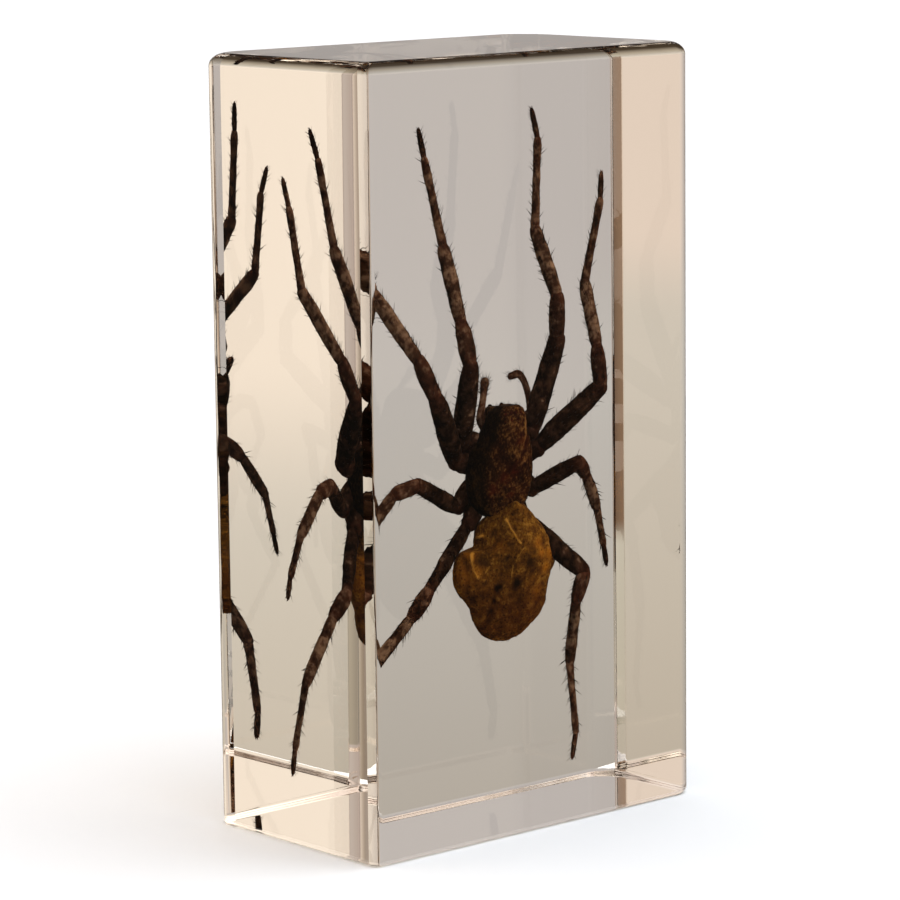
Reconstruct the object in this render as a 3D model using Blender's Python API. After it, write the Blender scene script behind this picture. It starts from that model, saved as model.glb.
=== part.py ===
"""A dried spider cast in a clear resin block, at its real size.

The block stands on its small end with its wide front face towards -Y. The spider hangs in
it head up, with its back towards that face. The frame's origin is the middle of the
block's foot. Metres, +Z up.

The resin is parted in the plane in which the specimen lies. Each half has a recess that
follows the body and every leg, so that the specimen sits in a pocket without touching.
"""

from dataclasses import dataclass
from math import cos, radians, sin, tan

import bmesh
import bpy
from mathutils import Matrix, Vector

MM = 0.001

# The block: a common size for small specimen blocks.
BLOCK_WIDTH = 41 * MM
BLOCK_DEPTH = 24 * MM
BLOCK_HEIGHT = 73 * MM
FRONT_EDGE = 2.1 * MM  # rounding of the two upright edges at the front
BACK_EDGE = 3.0 * MM  # and of the two at the back, which the mould leaves rounder
END_EDGE = 1.2 * MM  # rounding around the top and the foot
EDGE_STEPS = 3  # flats across each rounding

# The parting and the pocket.
PARTING_DEPTH = 0.9 * MM  # the specimen's plane, measured from the block's middle
PARTING_GAP = 0.3 * MM
POCKET_ROOM = 0.62 * MM  # all round the specimen; the slots' flats take up to half of it
SLOT_SQUARENESS = 4.0
MITRE_LIMIT = 0.6  # a slot gets no wider in a bend than 1 / MITRE_LIMIT

# The spider's long axis leans a little to the right as the front shows it.
AXIS_FOOT = 30.0  # height, in mm, at which the axis is AXIS_OFFSET off the block's middle
AXIS_OFFSET = 1.05
AXIS_LEAN = 0.06  # mm to the right for each mm up

LIMB_SIDES = 8
HEAD_SIDES = 12
BODY_SIDES = 20

# The rings of a leg. A segment has one near either end, where it is END_FULLNESS of its
# full radius, and one midway. They keep clear of the bend that the joint makes.
END_SHARE = 0.13  # of the segment's length, from the joint to the ring
START_FULLNESS = 0.88
END_FULLNESS = 0.95
BEND_CLEARANCE = 1.15
JOINT_WAIST = 0.82  # a joint's radius, as a share of the thinner segment's
TIP_RADIUS = 0.6  # a tarsus's blunt end, as a share of its radius


@dataclass(frozen=True)
class LegPair:
    """What the left and right leg of a pair share, in mm.

    socket is the hip's place: its reach sideways from the axis, its depth behind the
    block's middle and its height. lengths and radii run coxa, femur, patella, tibia,
    metatarsus, tarsus.
    """

    socket: tuple
    lengths: tuple
    radii: tuple


@dataclass(frozen=True)
class LegPose:
    """How one leg lies, segment by segment, in degrees.

    headings turn clockwise from straight up, as the front shows them. lifts rise
    towards the front face.
    """

    pair: int
    side: int  # -1 is left and 1 is right, as the front shows them
    headings: tuple
    lifts: tuple


LEG_PAIRS = {
    1: LegPair((2.3, 1.7, 36.0), (2.2, 9.3, 4.3, 7.8, 8.5, 2.9), (1.15, 1.17, 0.93, 0.8, 0.48, 0.32)),
    2: LegPair((2.8, 1.8, 34.3), (2.5, 9.2, 4.2, 8.2, 7.9, 2.7), (1.15, 1.12, 0.9, 0.76, 0.47, 0.32)),
    3: LegPair((2.8, 1.9, 32.4), (2.6, 6.3, 2.5, 4.8, 4.1, 2.1), (1.0, 0.84, 0.78, 0.66, 0.42, 0.31)),
    4: LegPair((2.2, 1.8, 30.7), (2.6, 9.1, 3.1, 7.7, 7.2, 2.5), (1.1, 1.0, 0.86, 0.68, 0.42, 0.31)),
}

LEG_POSES = {
    "leg_1_left": LegPose(1, -1, (-81, -11, -2, -4, -11, -4), (14, 33, -27, -26, -8, -20)),
    "leg_1_right": LegPose(1, 1, (64, 12, -8, -4, 4, -11), (36, 18, 17, -37, -2, -8)),
    "leg_2_left": LegPose(2, -1, (-78, -35, -23, -31, -12, -6), (5, 32, -15, -24, -5, -14)),
    "leg_2_right": LegPose(2, 1, (74, 47, -15, 11, 15, 11), (18, 30, 17, -42, 1, -14)),
    "leg_3_left": LegPose(3, -1, (-124, -68, -105, -156, -162, -170), (-3, 18, -8, -18, -14, -6)),
    "leg_3_right": LegPose(3, 1, (123, 58, 134, 146, 164, 166), (-2, 46, -33, -25, -7, -7)),
    "leg_4_left": LegPose(4, -1, (-163, -126, -142, -141, 175, -177), (17, 19, -22, -10, -17, -8)),
    "leg_4_right": LegPose(4, 1, (145, 136, -148, 171, 173, -171), (15, 22, 17, -31, -2, -5)),
}

# Body parts as slices, in mm: height, left edge, right edge, front, back.
CARAPACE = (
    (28.9, -0.1, 2.2, -0.6, 1.5),
    (29.6, -1.7, 3.6, -1.5, 2.1),
    (31.0, -2.7, 4.5, -2.2, 2.6),
    (33.0, -3.05, 4.85, -2.6, 2.9),
    (35.0, -2.7, 4.75, -2.8, 2.9),
    (36.6, -1.6, 4.3, -2.8, 2.7),
    (38.0, -0.75, 3.85, -2.7, 2.2),
    (39.0, -0.35, 3.6, -2.3, 1.4),
    (39.5, 0.4, 2.9, -1.6, 0.5),
)
ABDOMEN = (
    (29.6, 0.0, 2.4, -1.0, 1.5),
    (28.9, -1.7, 4.2, -1.9, 2.6),
    (27.9, -2.5, 5.6, -2.5, 3.2),
    (26.9, -3.1, 6.6, -2.9, 3.2),
    (26.2, -4.2, 7.1, -3.0, 2.9),
    (25.0, -4.8, 7.6, -3.1, 2.5),
    (23.6, -5.2, 7.5, -3.0, 2.2),
    (22.4, -4.6, 7.0, -2.8, 2.2),
    (20.9, -3.2, 6.8, -2.3, 2.4),
    (19.3, -2.2, 6.4, -1.6, 2.5),
    (18.1, -0.9, 5.2, -0.8, 2.4),
    (17.2, 0.5, 3.8, 0.0, 2.1),
    (16.9, 1.3, 2.9, 0.5, 1.6),
)
LEFT_CHELICERA = (
    (37.7, 0.1, 1.4, -1.3, 1.6),
    (38.6, -0.3, 1.58, -1.9, 2.7),
    (39.4, -0.25, 1.56, -1.8, 2.9),
    (39.9, 0.15, 1.3, -1.2, 2.3),
)
PEDICEL = (
    (30.6, 0.5, 1.7, 0.2, 1.4),
    (28.4, 0.5, 1.7, 0.2, 1.4),
)
HEAD_MIDDLE = 1.62  # the right chelicera mirrors the left one about this x, in mm

# A number above 2 makes a slice boxier than an ellipse, and one below 2 more pinched.
CARAPACE_SQUARENESS = 2.3
ABDOMEN_SQUARENESS = 1.75

# Small limbs as points and radii, in mm: x, depth, height, radius.
LEFT_PALP = (
    (-0.3, 1.6, 37.2, 0.6),
    (-1.25, 1.2, 38.5, 0.55),
    (-0.5, 1.8, 40.1, 0.42),
    (0.5, 2.8, 41.7, 0.5),
)
RIGHT_PALP = (
    (3.9, 1.6, 37.2, 0.6),
    (5.55, 1.2, 38.6, 0.5),
    (5.3, 1.5, 40.2, 0.36),
    (4.95, 1.8, 41.4, 0.36),
    (4.25, 2.0, 42.1, 0.4),
    (3.35, 2.1, 41.95, 0.34),
)
LEFT_FANG = ((0.9, 2.3, 39.3, 0.28), (0.75, 2.95, 38.6, 0.24), (1.2, 3.2, 37.9, 0.08))
SPINNERETS = ((1.4, 0.8), (2.2, 0.6), (1.8, 1.6))  # x and depth of each one, in mm
SPINNERET_ROOT = 17.6
SPINNERET_TIP = 16.5
SPINNERET_RADIUS = 0.3

SHARP_ANGLE = 35  # degrees between faces above which an edge is shaded sharp


# Shapes ------------------------------------------------------------------------------


def unit_section(bm, sides, squareness):
    """Adds the closed outline that every slice of a loft is a stretched copy of."""
    ring = bmesh.ops.create_circle(bm, cap_ends=True, radius=1.0, segments=sides)["verts"]
    power = 2.0 / squareness
    for vert in ring:
        x, y, _ = vert.co
        vert.co.x = abs(x) ** power * (1 if x > 0 else -1)
        vert.co.y = abs(y) ** power * (1 if y > 0 else -1)
    return ring


def loft(name, stations, sides, squareness=2.0):
    """Makes a closed skin through stations, each a matrix that places the unit outline."""
    bm = bmesh.new()
    ring = unit_section(bm, sides, squareness)
    bmesh.ops.transform(bm, matrix=stations[0], verts=ring)
    end = bm.verts[:] + bm.edges[:] + bm.faces[:]
    for before, after in zip(stations, stations[1:]):
        end = bmesh.ops.extrude_face_region(bm, geom=end)["geom"]
        moved = [item for item in end if isinstance(item, bmesh.types.BMVert)]
        bmesh.ops.transform(bm, matrix=after @ before.inverted(), verts=moved)
    bmesh.ops.recalc_face_normals(bm, faces=bm.faces[:])
    bmesh.ops.triangulate(bm, faces=bm.faces[:])
    return mesh_object(name, bm)


def mesh_object(name, bm):
    """Turns a bmesh into an object of the scene."""
    mesh = bpy.data.meshes.new(name)
    bm.to_mesh(mesh)
    bm.free()
    obj = bpy.data.objects.new(name, mesh)
    bpy.context.scene.collection.objects.link(obj)
    return obj


def placing(middle, across, outward, along, half_width, half_depth):
    """The matrix that stretches the unit outline and stands it at middle."""
    turned = Matrix((across * half_width, outward * half_depth, along)).transposed().to_4x4()
    return Matrix.Translation(middle) @ turned


def sliced_body(name, slices, squareness, sides=BODY_SIDES, room=0.0):
    """Lofts a body part from its slices, with room millimetres added all round."""
    first, last = slices[0][0], slices[-1][0]
    centre, half_length = (first + last) / 2, abs(last - first) / 2
    stations = []
    for height, left, right, front, back in slices:
        level = centre + (height - centre) * (1 + room / half_length)
        middle = Vector(((left + right) / 2, (front + back) / 2, level)) * MM
        half_width = ((right - left) / 2 + room) * MM
        half_depth = ((back - front) / 2 + room) * MM
        axes = Vector((1, 0, 0)), Vector((0, 1, 0)), Vector((0, 0, 1))
        stations.append(placing(middle, *axes, half_width, half_depth))
    return loft(name, stations, sides, squareness)


def mirrored_slices(slices, middle):
    """The same slices on the other side of x = middle."""
    twice = 2 * middle
    return tuple((z, twice - right, twice - left, front, back) for z, left, right, front, back in slices)


def mirrored_limb(points, middle):
    """The same limb on the other side of x = middle."""
    return tuple((2 * middle - x, *rest) for x, *rest in points)


def limb(name, points):
    """Lofts a round limb through points of x, depth, height and radius."""
    places = [Vector(point[:3]) * MM for point in points]
    stations = []
    along = (places[1] - places[0]).normalized()
    across = along.orthogonal().normalized()
    for number, (place, point) in enumerate(zip(places, points)):
        ahead = places[min(number + 1, len(places) - 1)] - places[max(number - 1, 0)]
        ahead.normalize()
        across.rotate(along.rotation_difference(ahead))
        along = ahead
        radius = point[3] * MM
        stations.append(placing(place, across, along.cross(across), along, radius, radius))
    return loft(name, stations, LIMB_SIDES)


def drawn_out(points):
    """A limb's places in metres, with the pocket's room beyond either end."""
    places = [Vector(point[:3]) * MM for point in points]
    for end, inner in ((0, 1), (-1, -2)):
        outward = places[end] - places[inner]
        reach = points[end][3] * MM + POCKET_ROOM
        places[end] += outward * reach / outward.xz.length
    return places


def recess(name, points):
    """Lofts the cutter for a limb: a slot from the limb to past the parting plane."""
    places = drawn_out(points)
    runs = [after - before for before, after in zip(places, places[1:])]
    levels = [Vector((run.x, 0, run.z)) for run in runs]
    depthwards = Vector((0, 1, 0))
    stations = []
    for number, place in enumerate(places):
        beside = slice(max(number - 1, 0), number + 1)
        ahead = sum((level.normalized() for level in levels[beside]), Vector()).normalized()
        mitre = 1.0 / max(ahead.dot(levels[beside][0].normalized()), MITRE_LIMIT)
        steepness = max(run.length / level.length for run, level in zip(runs[beside], levels[beside]))
        radius = points[number][3] * MM
        front = min(place.y - radius * steepness, PARTING_DEPTH) - POCKET_ROOM
        back = max(place.y + radius * steepness, PARTING_DEPTH) + POCKET_ROOM
        middle = Vector((place.x, (front + back) / 2, place.z))
        across = depthwards.cross(ahead)
        half_width = (radius + POCKET_ROOM) * mitre
        stations.append(placing(middle, across, depthwards, ahead, half_width, (back - front) / 2))
    return loft(name, stations, LIMB_SIDES, SLOT_SQUARENESS)


# The legs ----------------------------------------------------------------------------


def axis_x(height):
    """The x of the spider's long axis at a height, all in mm."""
    return AXIS_OFFSET + AXIS_LEAN * (height - AXIS_FOOT)


def leg_joints(pose):
    """The places of a leg's hip, its five joints and its tip, in mm."""
    pair = LEG_PAIRS[pose.pair]
    reach, depth, height = pair.socket
    joints = [Vector((axis_x(height) + pose.side * reach, depth, height))]
    for length, heading, lift in zip(pair.lengths, pose.headings, pose.lifts):
        turn, rise = radians(heading), radians(lift)
        direction = Vector((cos(rise) * sin(turn), -sin(rise), cos(rise) * cos(turn)))
        joints.append(joints[-1] + direction * length)
    return joints


def bend_reach(joints, number, radius):
    """How far from joint number a limb of that radius has to stay straight, in mm."""
    if number in (0, len(joints) - 1):
        return 0.0
    before = joints[number] - joints[number - 1]
    after = joints[number + 1] - joints[number]
    return radius * tan(before.angle(after) / 2) * BEND_CLEARANCE


def leg_points(pose):
    """The rings of a leg, as points of x, depth, height and radius."""
    radii = LEG_PAIRS[pose.pair].radii
    joints = leg_joints(pose)
    points = [(*joints[0], radii[0])]
    for number, radius in enumerate(radii):
        start, end = joints[number], joints[number + 1]
        length = (end - start).length
        low = max(END_SHARE, bend_reach(joints, number, radius) / length)
        high = 1 - max(END_SHARE, bend_reach(joints, number + 1, radius) / length)
        if high - low > 2 * END_SHARE:
            points.append((*start.lerp(end, low), radius * START_FULLNESS))
            points.append((*start.lerp(end, (low + high) / 2), radius))
            points.append((*start.lerp(end, high), radius * END_FULLNESS))
        else:
            points.append((*start.lerp(end, (low + high) / 2), radius))
        is_tip = number == len(radii) - 1
        waist = radius * TIP_RADIUS if is_tip else min(radius, radii[number + 1]) * JOINT_WAIST
        points.append((*end, waist))
    return points


def leg_recess_points(pose):
    """The joints of a leg with the widest radius that meets at each, for its recess."""
    radii = LEG_PAIRS[pose.pair].radii
    widest = [max(pair) for pair in zip((0.0, *radii), (*radii, 0.0))]
    return [(*joint, radius) for joint, radius in zip(leg_joints(pose), widest)]


# Booleans and finish -----------------------------------------------------------------


def combine(target, tool, operation):
    """Applies an exact boolean to target and removes the tool."""
    modifier = target.modifiers.new(operation.lower(), "BOOLEAN")
    modifier.operation = operation
    modifier.solver = "EXACT"
    modifier.object = tool
    depsgraph = bpy.context.evaluated_depsgraph_get()
    result = bpy.data.meshes.new_from_object(target.evaluated_get(depsgraph))
    target.modifiers.clear()
    target.data = result
    bpy.data.objects.remove(tool)


def paint(obj, name, colour, roughness, transmission=0.0, ior=1.5):
    """Gives an object its own material and shades it smooth between its sharp edges."""
    material = bpy.data.materials.new(name)
    material.use_nodes = True
    shader = material.node_tree.nodes["Principled BSDF"]
    shader.inputs["Base Color"].default_value = (*colour, 1.0)
    shader.inputs["Roughness"].default_value = roughness
    shader.inputs["Metallic"].default_value = 0.0
    shader.inputs["Transmission Weight"].default_value = transmission
    shader.inputs["IOR"].default_value = ior
    obj.data.materials.clear()
    obj.data.materials.append(material)
    obj.data.name = obj.name
    obj.data.shade_smooth()
    obj.data.set_sharp_from_angle(angle=radians(SHARP_ANGLE))


# The pieces --------------------------------------------------------------------------


def make_spider():
    """Fuses body, limbs and legs into one solid."""
    right_chelicera = mirrored_slices(LEFT_CHELICERA, HEAD_MIDDLE)
    right_fang = mirrored_limb(LEFT_FANG, HEAD_MIDDLE)
    spider = sliced_body("spider", CARAPACE, CARAPACE_SQUARENESS)
    parts = [
        sliced_body("pedicel", PEDICEL, 2.0, LIMB_SIDES),
        sliced_body("abdomen", ABDOMEN, ABDOMEN_SQUARENESS),
        sliced_body("chelicera_left", LEFT_CHELICERA, 2.0, HEAD_SIDES),
        sliced_body("chelicera_right", right_chelicera, 2.0, HEAD_SIDES),
        limb("palp_left", LEFT_PALP),
        limb("palp_right", RIGHT_PALP),
        limb("fang_left", LEFT_FANG),
        limb("fang_right", right_fang),
    ]
    parts += [limb("spinneret", spinneret_points(x, depth)) for x, depth in SPINNERETS]
    parts += [limb(name, leg_points(pose)) for name, pose in LEG_POSES.items()]
    for part in parts:
        combine(spider, part, "UNION")
    paint(spider, "dry_chitin", (0.055, 0.03, 0.016), roughness=0.5)
    return spider


def spinneret_points(x, depth):
    """The two ends of a spinneret, with a taper between them."""
    root = (x, depth, SPINNERET_ROOT, SPINNERET_RADIUS)
    tip = (x, depth, SPINNERET_TIP, SPINNERET_RADIUS / 2)
    return root, tip


def pocket_mould():
    """Fuses the solid that cuts the specimen's pocket out of the resin."""
    right_chelicera = mirrored_slices(LEFT_CHELICERA, HEAD_MIDDLE)
    right_fang = mirrored_limb(LEFT_FANG, HEAD_MIDDLE)
    room = POCKET_ROOM / MM
    mould = sliced_body("mould", CARAPACE, CARAPACE_SQUARENESS, BODY_SIDES, room)
    parts = [
        sliced_body("around_abdomen", ABDOMEN, ABDOMEN_SQUARENESS, BODY_SIDES, room),
        sliced_body("around_chelicera_left", LEFT_CHELICERA, 2.0, HEAD_SIDES, room),
        sliced_body("around_chelicera_right", right_chelicera, 2.0, HEAD_SIDES, room),
        recess("around_palp_left", LEFT_PALP),
        recess("around_palp_right", RIGHT_PALP),
        recess("around_fang_left", LEFT_FANG),
        recess("around_fang_right", right_fang),
    ]
    parts += [recess("around_spinneret", spinneret_points(x, depth)) for x, depth in SPINNERETS]
    parts += [recess("around_" + name, leg_recess_points(pose)) for name, pose in LEG_POSES.items()]
    for part in parts:
        combine(mould, part, "UNION")
    return mould


def round_edges(bm, edges, width):
    """Rounds edges with a width measured along the faces on either side."""
    bmesh.ops.bevel(
        bm, geom=edges, offset=width, segments=EDGE_STEPS, profile=0.5, affect="EDGES", material=-1
    )


def block_bmesh():
    """The whole block, before it is parted."""
    bm = bmesh.new()
    size = Matrix.Diagonal((BLOCK_WIDTH, BLOCK_DEPTH, BLOCK_HEIGHT, 1.0))
    lifted = Matrix.Translation((0, 0, BLOCK_HEIGHT / 2))
    bmesh.ops.create_cube(bm, size=1.0, matrix=lifted @ size)
    upright = [edge for edge in bm.edges if edge.verts[0].co.xy == edge.verts[1].co.xy]
    round_edges(bm, [edge for edge in upright if edge.verts[0].co.y < 0], FRONT_EDGE)
    round_edges(bm, [edge for edge in bm.edges if is_back_corner(edge)], BACK_EDGE)
    ends = [edge for edge in bm.edges if edge.verts[0].co.z == edge.verts[1].co.z]
    round_edges(bm, ends, END_EDGE)
    return bm


def is_back_corner(edge):
    """Whether an edge is one of the two square upright ones at the back."""
    places = [vert.co for vert in edge.verts]
    at_side = all(abs(place.x) > BLOCK_WIDTH / 2 - PARTING_GAP and place.y > 0 for place in places)
    return at_side and places[0].z != places[1].z


def make_half(name, side):
    """Cuts the front half (side -1) or the back half (side 1) out of the block."""
    bm = block_bmesh()
    cut = Vector((0, PARTING_DEPTH + side * PARTING_GAP / 2, 0))
    geometry = bm.verts[:] + bm.edges[:] + bm.faces[:]
    normal = Vector((0, -side, 0))
    bmesh.ops.bisect_plane(bm, geom=geometry, plane_co=cut, plane_no=normal, clear_outer=True)
    rim = [edge for edge in bm.edges if edge.is_boundary]
    bmesh.ops.contextual_create(bm, geom=rim)
    bmesh.ops.recalc_face_normals(bm, faces=bm.faces[:])
    half = mesh_object(name, bm)
    combine(half, pocket_mould(), "DIFFERENCE")
    paint(half, "clear_resin_" + name, (0.97, 0.96, 0.94), roughness=0.03, transmission=1.0, ior=1.53)
    return half


def main():
    """Clears the scene and makes the three nodes."""
    for obj in list(bpy.data.objects):
        bpy.data.objects.remove(obj)
    make_spider()
    make_half("block_front", -1)
    make_half("block_back", 1)


main()
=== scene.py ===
"""A dried spider cast in a clear resin block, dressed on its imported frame.

The block stands on its small end with its wide front face towards -Y. The spider hangs in
it head up with its back towards that face, so "front" is its upper side and "back" its
underside. Lengths in the tables are millimetres; Blender gets metres, +Z up.
"""

import logging
from dataclasses import dataclass, field
from enum import Enum
from math import ceil, cos, exp, inf, pi, radians, sin, sqrt, tau
from random import Random
from typing import Callable, Optional, Sequence

import bmesh
import bpy
from bmesh.types import BMesh, BMFace, BMVert
from bpy.types import Material, Node, NodeOutputs, NodeSocket, NodeTree, Object
from mathutils import Matrix, Vector, noise


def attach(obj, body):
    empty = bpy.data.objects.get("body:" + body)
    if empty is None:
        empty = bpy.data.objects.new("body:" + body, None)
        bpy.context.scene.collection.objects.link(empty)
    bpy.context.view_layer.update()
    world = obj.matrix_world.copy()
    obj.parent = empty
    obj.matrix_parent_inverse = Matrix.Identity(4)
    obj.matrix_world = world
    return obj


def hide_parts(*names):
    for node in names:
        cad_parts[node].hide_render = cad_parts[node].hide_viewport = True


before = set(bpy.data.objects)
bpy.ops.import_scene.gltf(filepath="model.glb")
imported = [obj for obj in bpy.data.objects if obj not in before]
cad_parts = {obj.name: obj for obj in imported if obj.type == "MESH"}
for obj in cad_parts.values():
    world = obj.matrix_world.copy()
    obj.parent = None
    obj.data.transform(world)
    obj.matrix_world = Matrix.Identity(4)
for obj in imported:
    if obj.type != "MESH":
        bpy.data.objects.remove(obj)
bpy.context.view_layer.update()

LOG = logging.getLogger("spider_block")

# Tables: a curve's or path's points, rows of numbers, and colours by place along a ramp.
Curve = Sequence[tuple[float, float]]
Rows = Sequence[tuple[float, ...]]
Tones = Sequence[tuple[float, str]]
# Gives relief, stain and warmth from a place in millimetres and the skin's normal there.
# On the shield the stain is painted shade on its flanks; on the abdomen the warmth is
# the painted glow of light through the skin.
Shaper = Callable[[Vector, Vector], tuple[float, float, float]]

MM = 0.001
BODY = "root"
X_AXIS, Y_AXIS, Z_AXIS = Vector((1, 0, 0)), Vector((0, 1, 0)), Vector((0, 0, 1))

# How far the body and the hips lie nearer the front than the frame has them, in mm by x.
BODY_ROLL = ((-8.0, 0.0), (-2.0, 0.5), (4.0, 2.4), (6.0, 2.4), (11.0, 0.0))
ROLL_FADE = ((37.5, 1.0), (43.0, 0.0))  # the share of it that is left, by height in mm
LINE_OF_SIGHT = Vector((0.505, 1.0, -0.119))  # the way that the camera's rays run in the resin

# Sockets of the Mix node when it mixes colours.
MIX_FACTOR, MIX_A, MIX_B, MIX_RESULT = 0, 6, 7, 2

# The names of the values that the spider's meshes carry for their finishes.
LIMB_PLACE = "limb_place"  # place on the limb as if it were straight, in metres
# On the abdomen, warmth carries the painted glow of light through the skin.
WARMTH = "warmth"  # how reddish the cuticle is there, 0 to 1
RELIEF = "relief"  # ridges above 0, folds and grooves below
# On the head shield the stain carries painted shade on its flanks.
STAIN = "stain"  # dark marks, 0 to 1

# The resin wets what is cast in it, so a surface shines only as much as its own index, as
# of chitin or bare horn, differs from the resin's.
RESIN_IOR, CHITIN_IOR, HORN_IOR = 1.529, 1.56, 1.6
WETTED_IOR = CHITIN_IOR / RESIN_IOR
WETTED_HORN_IOR = HORN_IOR / RESIN_IOR


# Small tools --------------------------------------------------------------------------


def linear(hex_colour: str) -> tuple[float, float, float, float]:
    """Turns an sRGB hex colour into linear values.

    Args:
        hex_colour: The colour as "#rrggbb".

    Returns:
        Linear red, green and blue, with an alpha of 1.
    """
    channels = [int(hex_colour[start : start + 2], 16) / 255 for start in (1, 3, 5)]
    red, green, blue = [
        value / 12.92 if value <= 0.04045 else ((value + 0.055) / 1.055) ** 2.4 for value in channels
    ]
    return red, green, blue, 1.0


def add_node(
    tree: NodeTree,
    kind: str,
    settings: Optional[dict] = None,
    inputs: Optional[dict] = None,
    stops: Tones = (),
) -> Node:
    """Adds a node with its settings, its inputs and their links.

    Args:
        tree: The node tree that gets the node.
        kind: The node's type without "ShaderNode", such as "TexNoise".
        settings: Properties of the node by name.
        inputs: Input sockets by name or number: a value, or a socket to link from.
        stops: Places and hex colours along a colour ramp.

    Returns:
        The new node.
    """
    node = tree.nodes.new("ShaderNode" + kind)
    for name, value in (settings or {}).items():
        setattr(node, name, value)
    for name, value in (inputs or {}).items():
        if isinstance(value, NodeSocket):
            tree.links.new(value, node.inputs[name])
        else:
            node.inputs[name].default_value = value
    if stops:
        elements = node.color_ramp.elements
        while len(elements) < len(stops):
            elements.new(1.0)
        for element, (place, colour) in zip(elements, stops):
            element.position = place
            element.color = linear(colour)
    return node


def show_object(name: str, bm: BMesh, material: Material) -> Object:
    """Turns a bmesh into a smooth-shaded object with one material.

    Args:
        name: The object's name.
        bm: The shape, which is freed.
        material: Its finish.

    Returns:
        The object, at the origin.
    """
    mesh = bpy.data.meshes.new(name)
    bm.to_mesh(mesh)
    bm.free()
    mesh.materials.append(material)
    mesh.shade_smooth()
    obj = bpy.data.objects.new(name, mesh)
    bpy.context.scene.collection.objects.link(obj)
    return obj


def dress_spider(name: str, bm: BMesh, material: Material) -> None:
    """Makes a shape a piece of the spider, with the body rolled to its right.

    The body's right half lies nearer the front face than its left, which its mirror image
    in the block's side shows. The roll moves along the line of sight, so the front keeps
    its outline.

    Args:
        name: The piece's name.
        bm: The shape, which is freed.
        material: Its finish.
    """
    obj = show_object(name, bm, material)
    for vert in obj.data.vertices:
        roll = smooth_reading(BODY_ROLL, vert.co.x / MM) * smooth_reading(ROLL_FADE, vert.co.z / MM)
        vert.co -= LINE_OF_SIGHT * roll * MM
    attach(obj, BODY)
    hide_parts("spider")
    LOG.info("%s: %d faces", obj.name, len(obj.data.polygons))


def smooth_reading(points: Curve, place: float) -> float:
    """Reads a smooth curve that goes through points and never overshoots them.

    Args:
        points: Places and values, with the places rising.
        place: Where to read.

    Returns:
        The curve's value there, held level beyond the ends.
    """
    if place <= points[0][0]:
        return points[0][1]
    if place >= points[-1][0]:
        return points[-1][1]
    slopes = [(b[1] - a[1]) / (b[0] - a[0]) for a, b in zip(points, points[1:])]
    number = next(at for at in range(len(slopes)) if place <= points[at + 1][0])

    def tangent(at: int) -> float:
        """The slope at a point, level where the curve turns back."""
        before, after = slopes[max(at - 1, 0)], slopes[min(at, len(slopes) - 1)]
        return 0.0 if before * after <= 0 else 2 * before * after / (before + after)

    (x0, y0), (x1, y1) = points[number], points[number + 1]
    run = x1 - x0
    t = (place - x0) / run
    start, end = tangent(number) * run, tangent(number + 1) * run
    rest = 1 - t
    from_start = y0 * (1 + 2 * t) * rest * rest + start * t * rest * rest
    return from_start + y1 * t * t * (3 - 2 * t) - end * t * t * rest


def bell(distance: float, width: float) -> float:
    """A bump of height 1 that fades over a width."""
    return exp(-((distance / width) ** 2))


def path_distance(x: float, z: float, path: Curve) -> float:
    """Measures how far a point lies from a line of straight stretches.

    Args:
        x: The point's x in millimetres.
        z: Its height in millimetres.
        path: The line's corners as x and height.

    Returns:
        The shortest distance in millimetres.
    """
    point = Vector((x, z))
    best = inf
    for first, second in zip(path, path[1:]):
        a, b = Vector(first), Vector(second)
        run = b - a
        share = min(max((point - a).dot(run) / run.length_squared, 0.0), 1.0)
        best = min(best, (point - a - run * share).length)
    return best


# Finishes -----------------------------------------------------------------------------


class Finish:
    """What every finish shares: one plain shader, which its own patterns feed."""

    title: str

    def surface(self, tree: NodeTree) -> dict:
        """Draws the patterns.

        Args:
            tree: The material's nodes.

        Returns:
            The shader's inputs, as values and sockets by name.
        """
        raise NotImplementedError

    def depth(self, tree: NodeTree) -> dict:
        """Gives the output's other inputs; an opaque finish has none."""
        return {}

    def material(self) -> Material:
        """Builds the finish.

        Returns:
            The material, which bears the finish's title.
        """
        material = bpy.data.materials.new(self.title)
        material.use_nodes = True
        tree = material.node_tree
        tree.nodes.clear()
        shader = add_node(tree, "BsdfPrincipled", inputs=self.surface(tree))
        add_node(tree, "OutputMaterial", inputs={"Surface": shader.outputs[0], **self.depth(tree)})
        return material


@dataclass(frozen=True)
class CastResin(Finish):
    """Clear cast polyester resin, sawn and buffed to a gloss.

    To the eye it is water-clear with a faint straw tint in its depth, bends what is seen
    through it and mirrors its own sides.
    """

    title: str = "cast_polyester_resin"
    colour: str = "#ffffff"
    depth_tint: str = "#fff1da"
    depth_density: float = 2.5  # per metre: a few percent over the block's width
    refraction: float = RESIN_IOR
    roughness: float = 0.0

    def surface(self, tree: NodeTree) -> dict:
        """Gives the clear surface, which has no pattern."""
        return {
            "Base Color": linear(self.colour), "Roughness": self.roughness,
            "IOR": self.refraction, "Transmission Weight": 1.0,
        }

    def depth(self, tree: NodeTree) -> dict:
        """Tints the depth.

        Args:
            tree: The material's nodes.

        Returns:
            The volume's socket by name.
        """
        tint = add_node(tree, "VolumeAbsorption", inputs={
            "Color": linear(self.depth_tint), "Density": self.depth_density,
        })
        return {"Volume": tint.outputs[0]}


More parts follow.
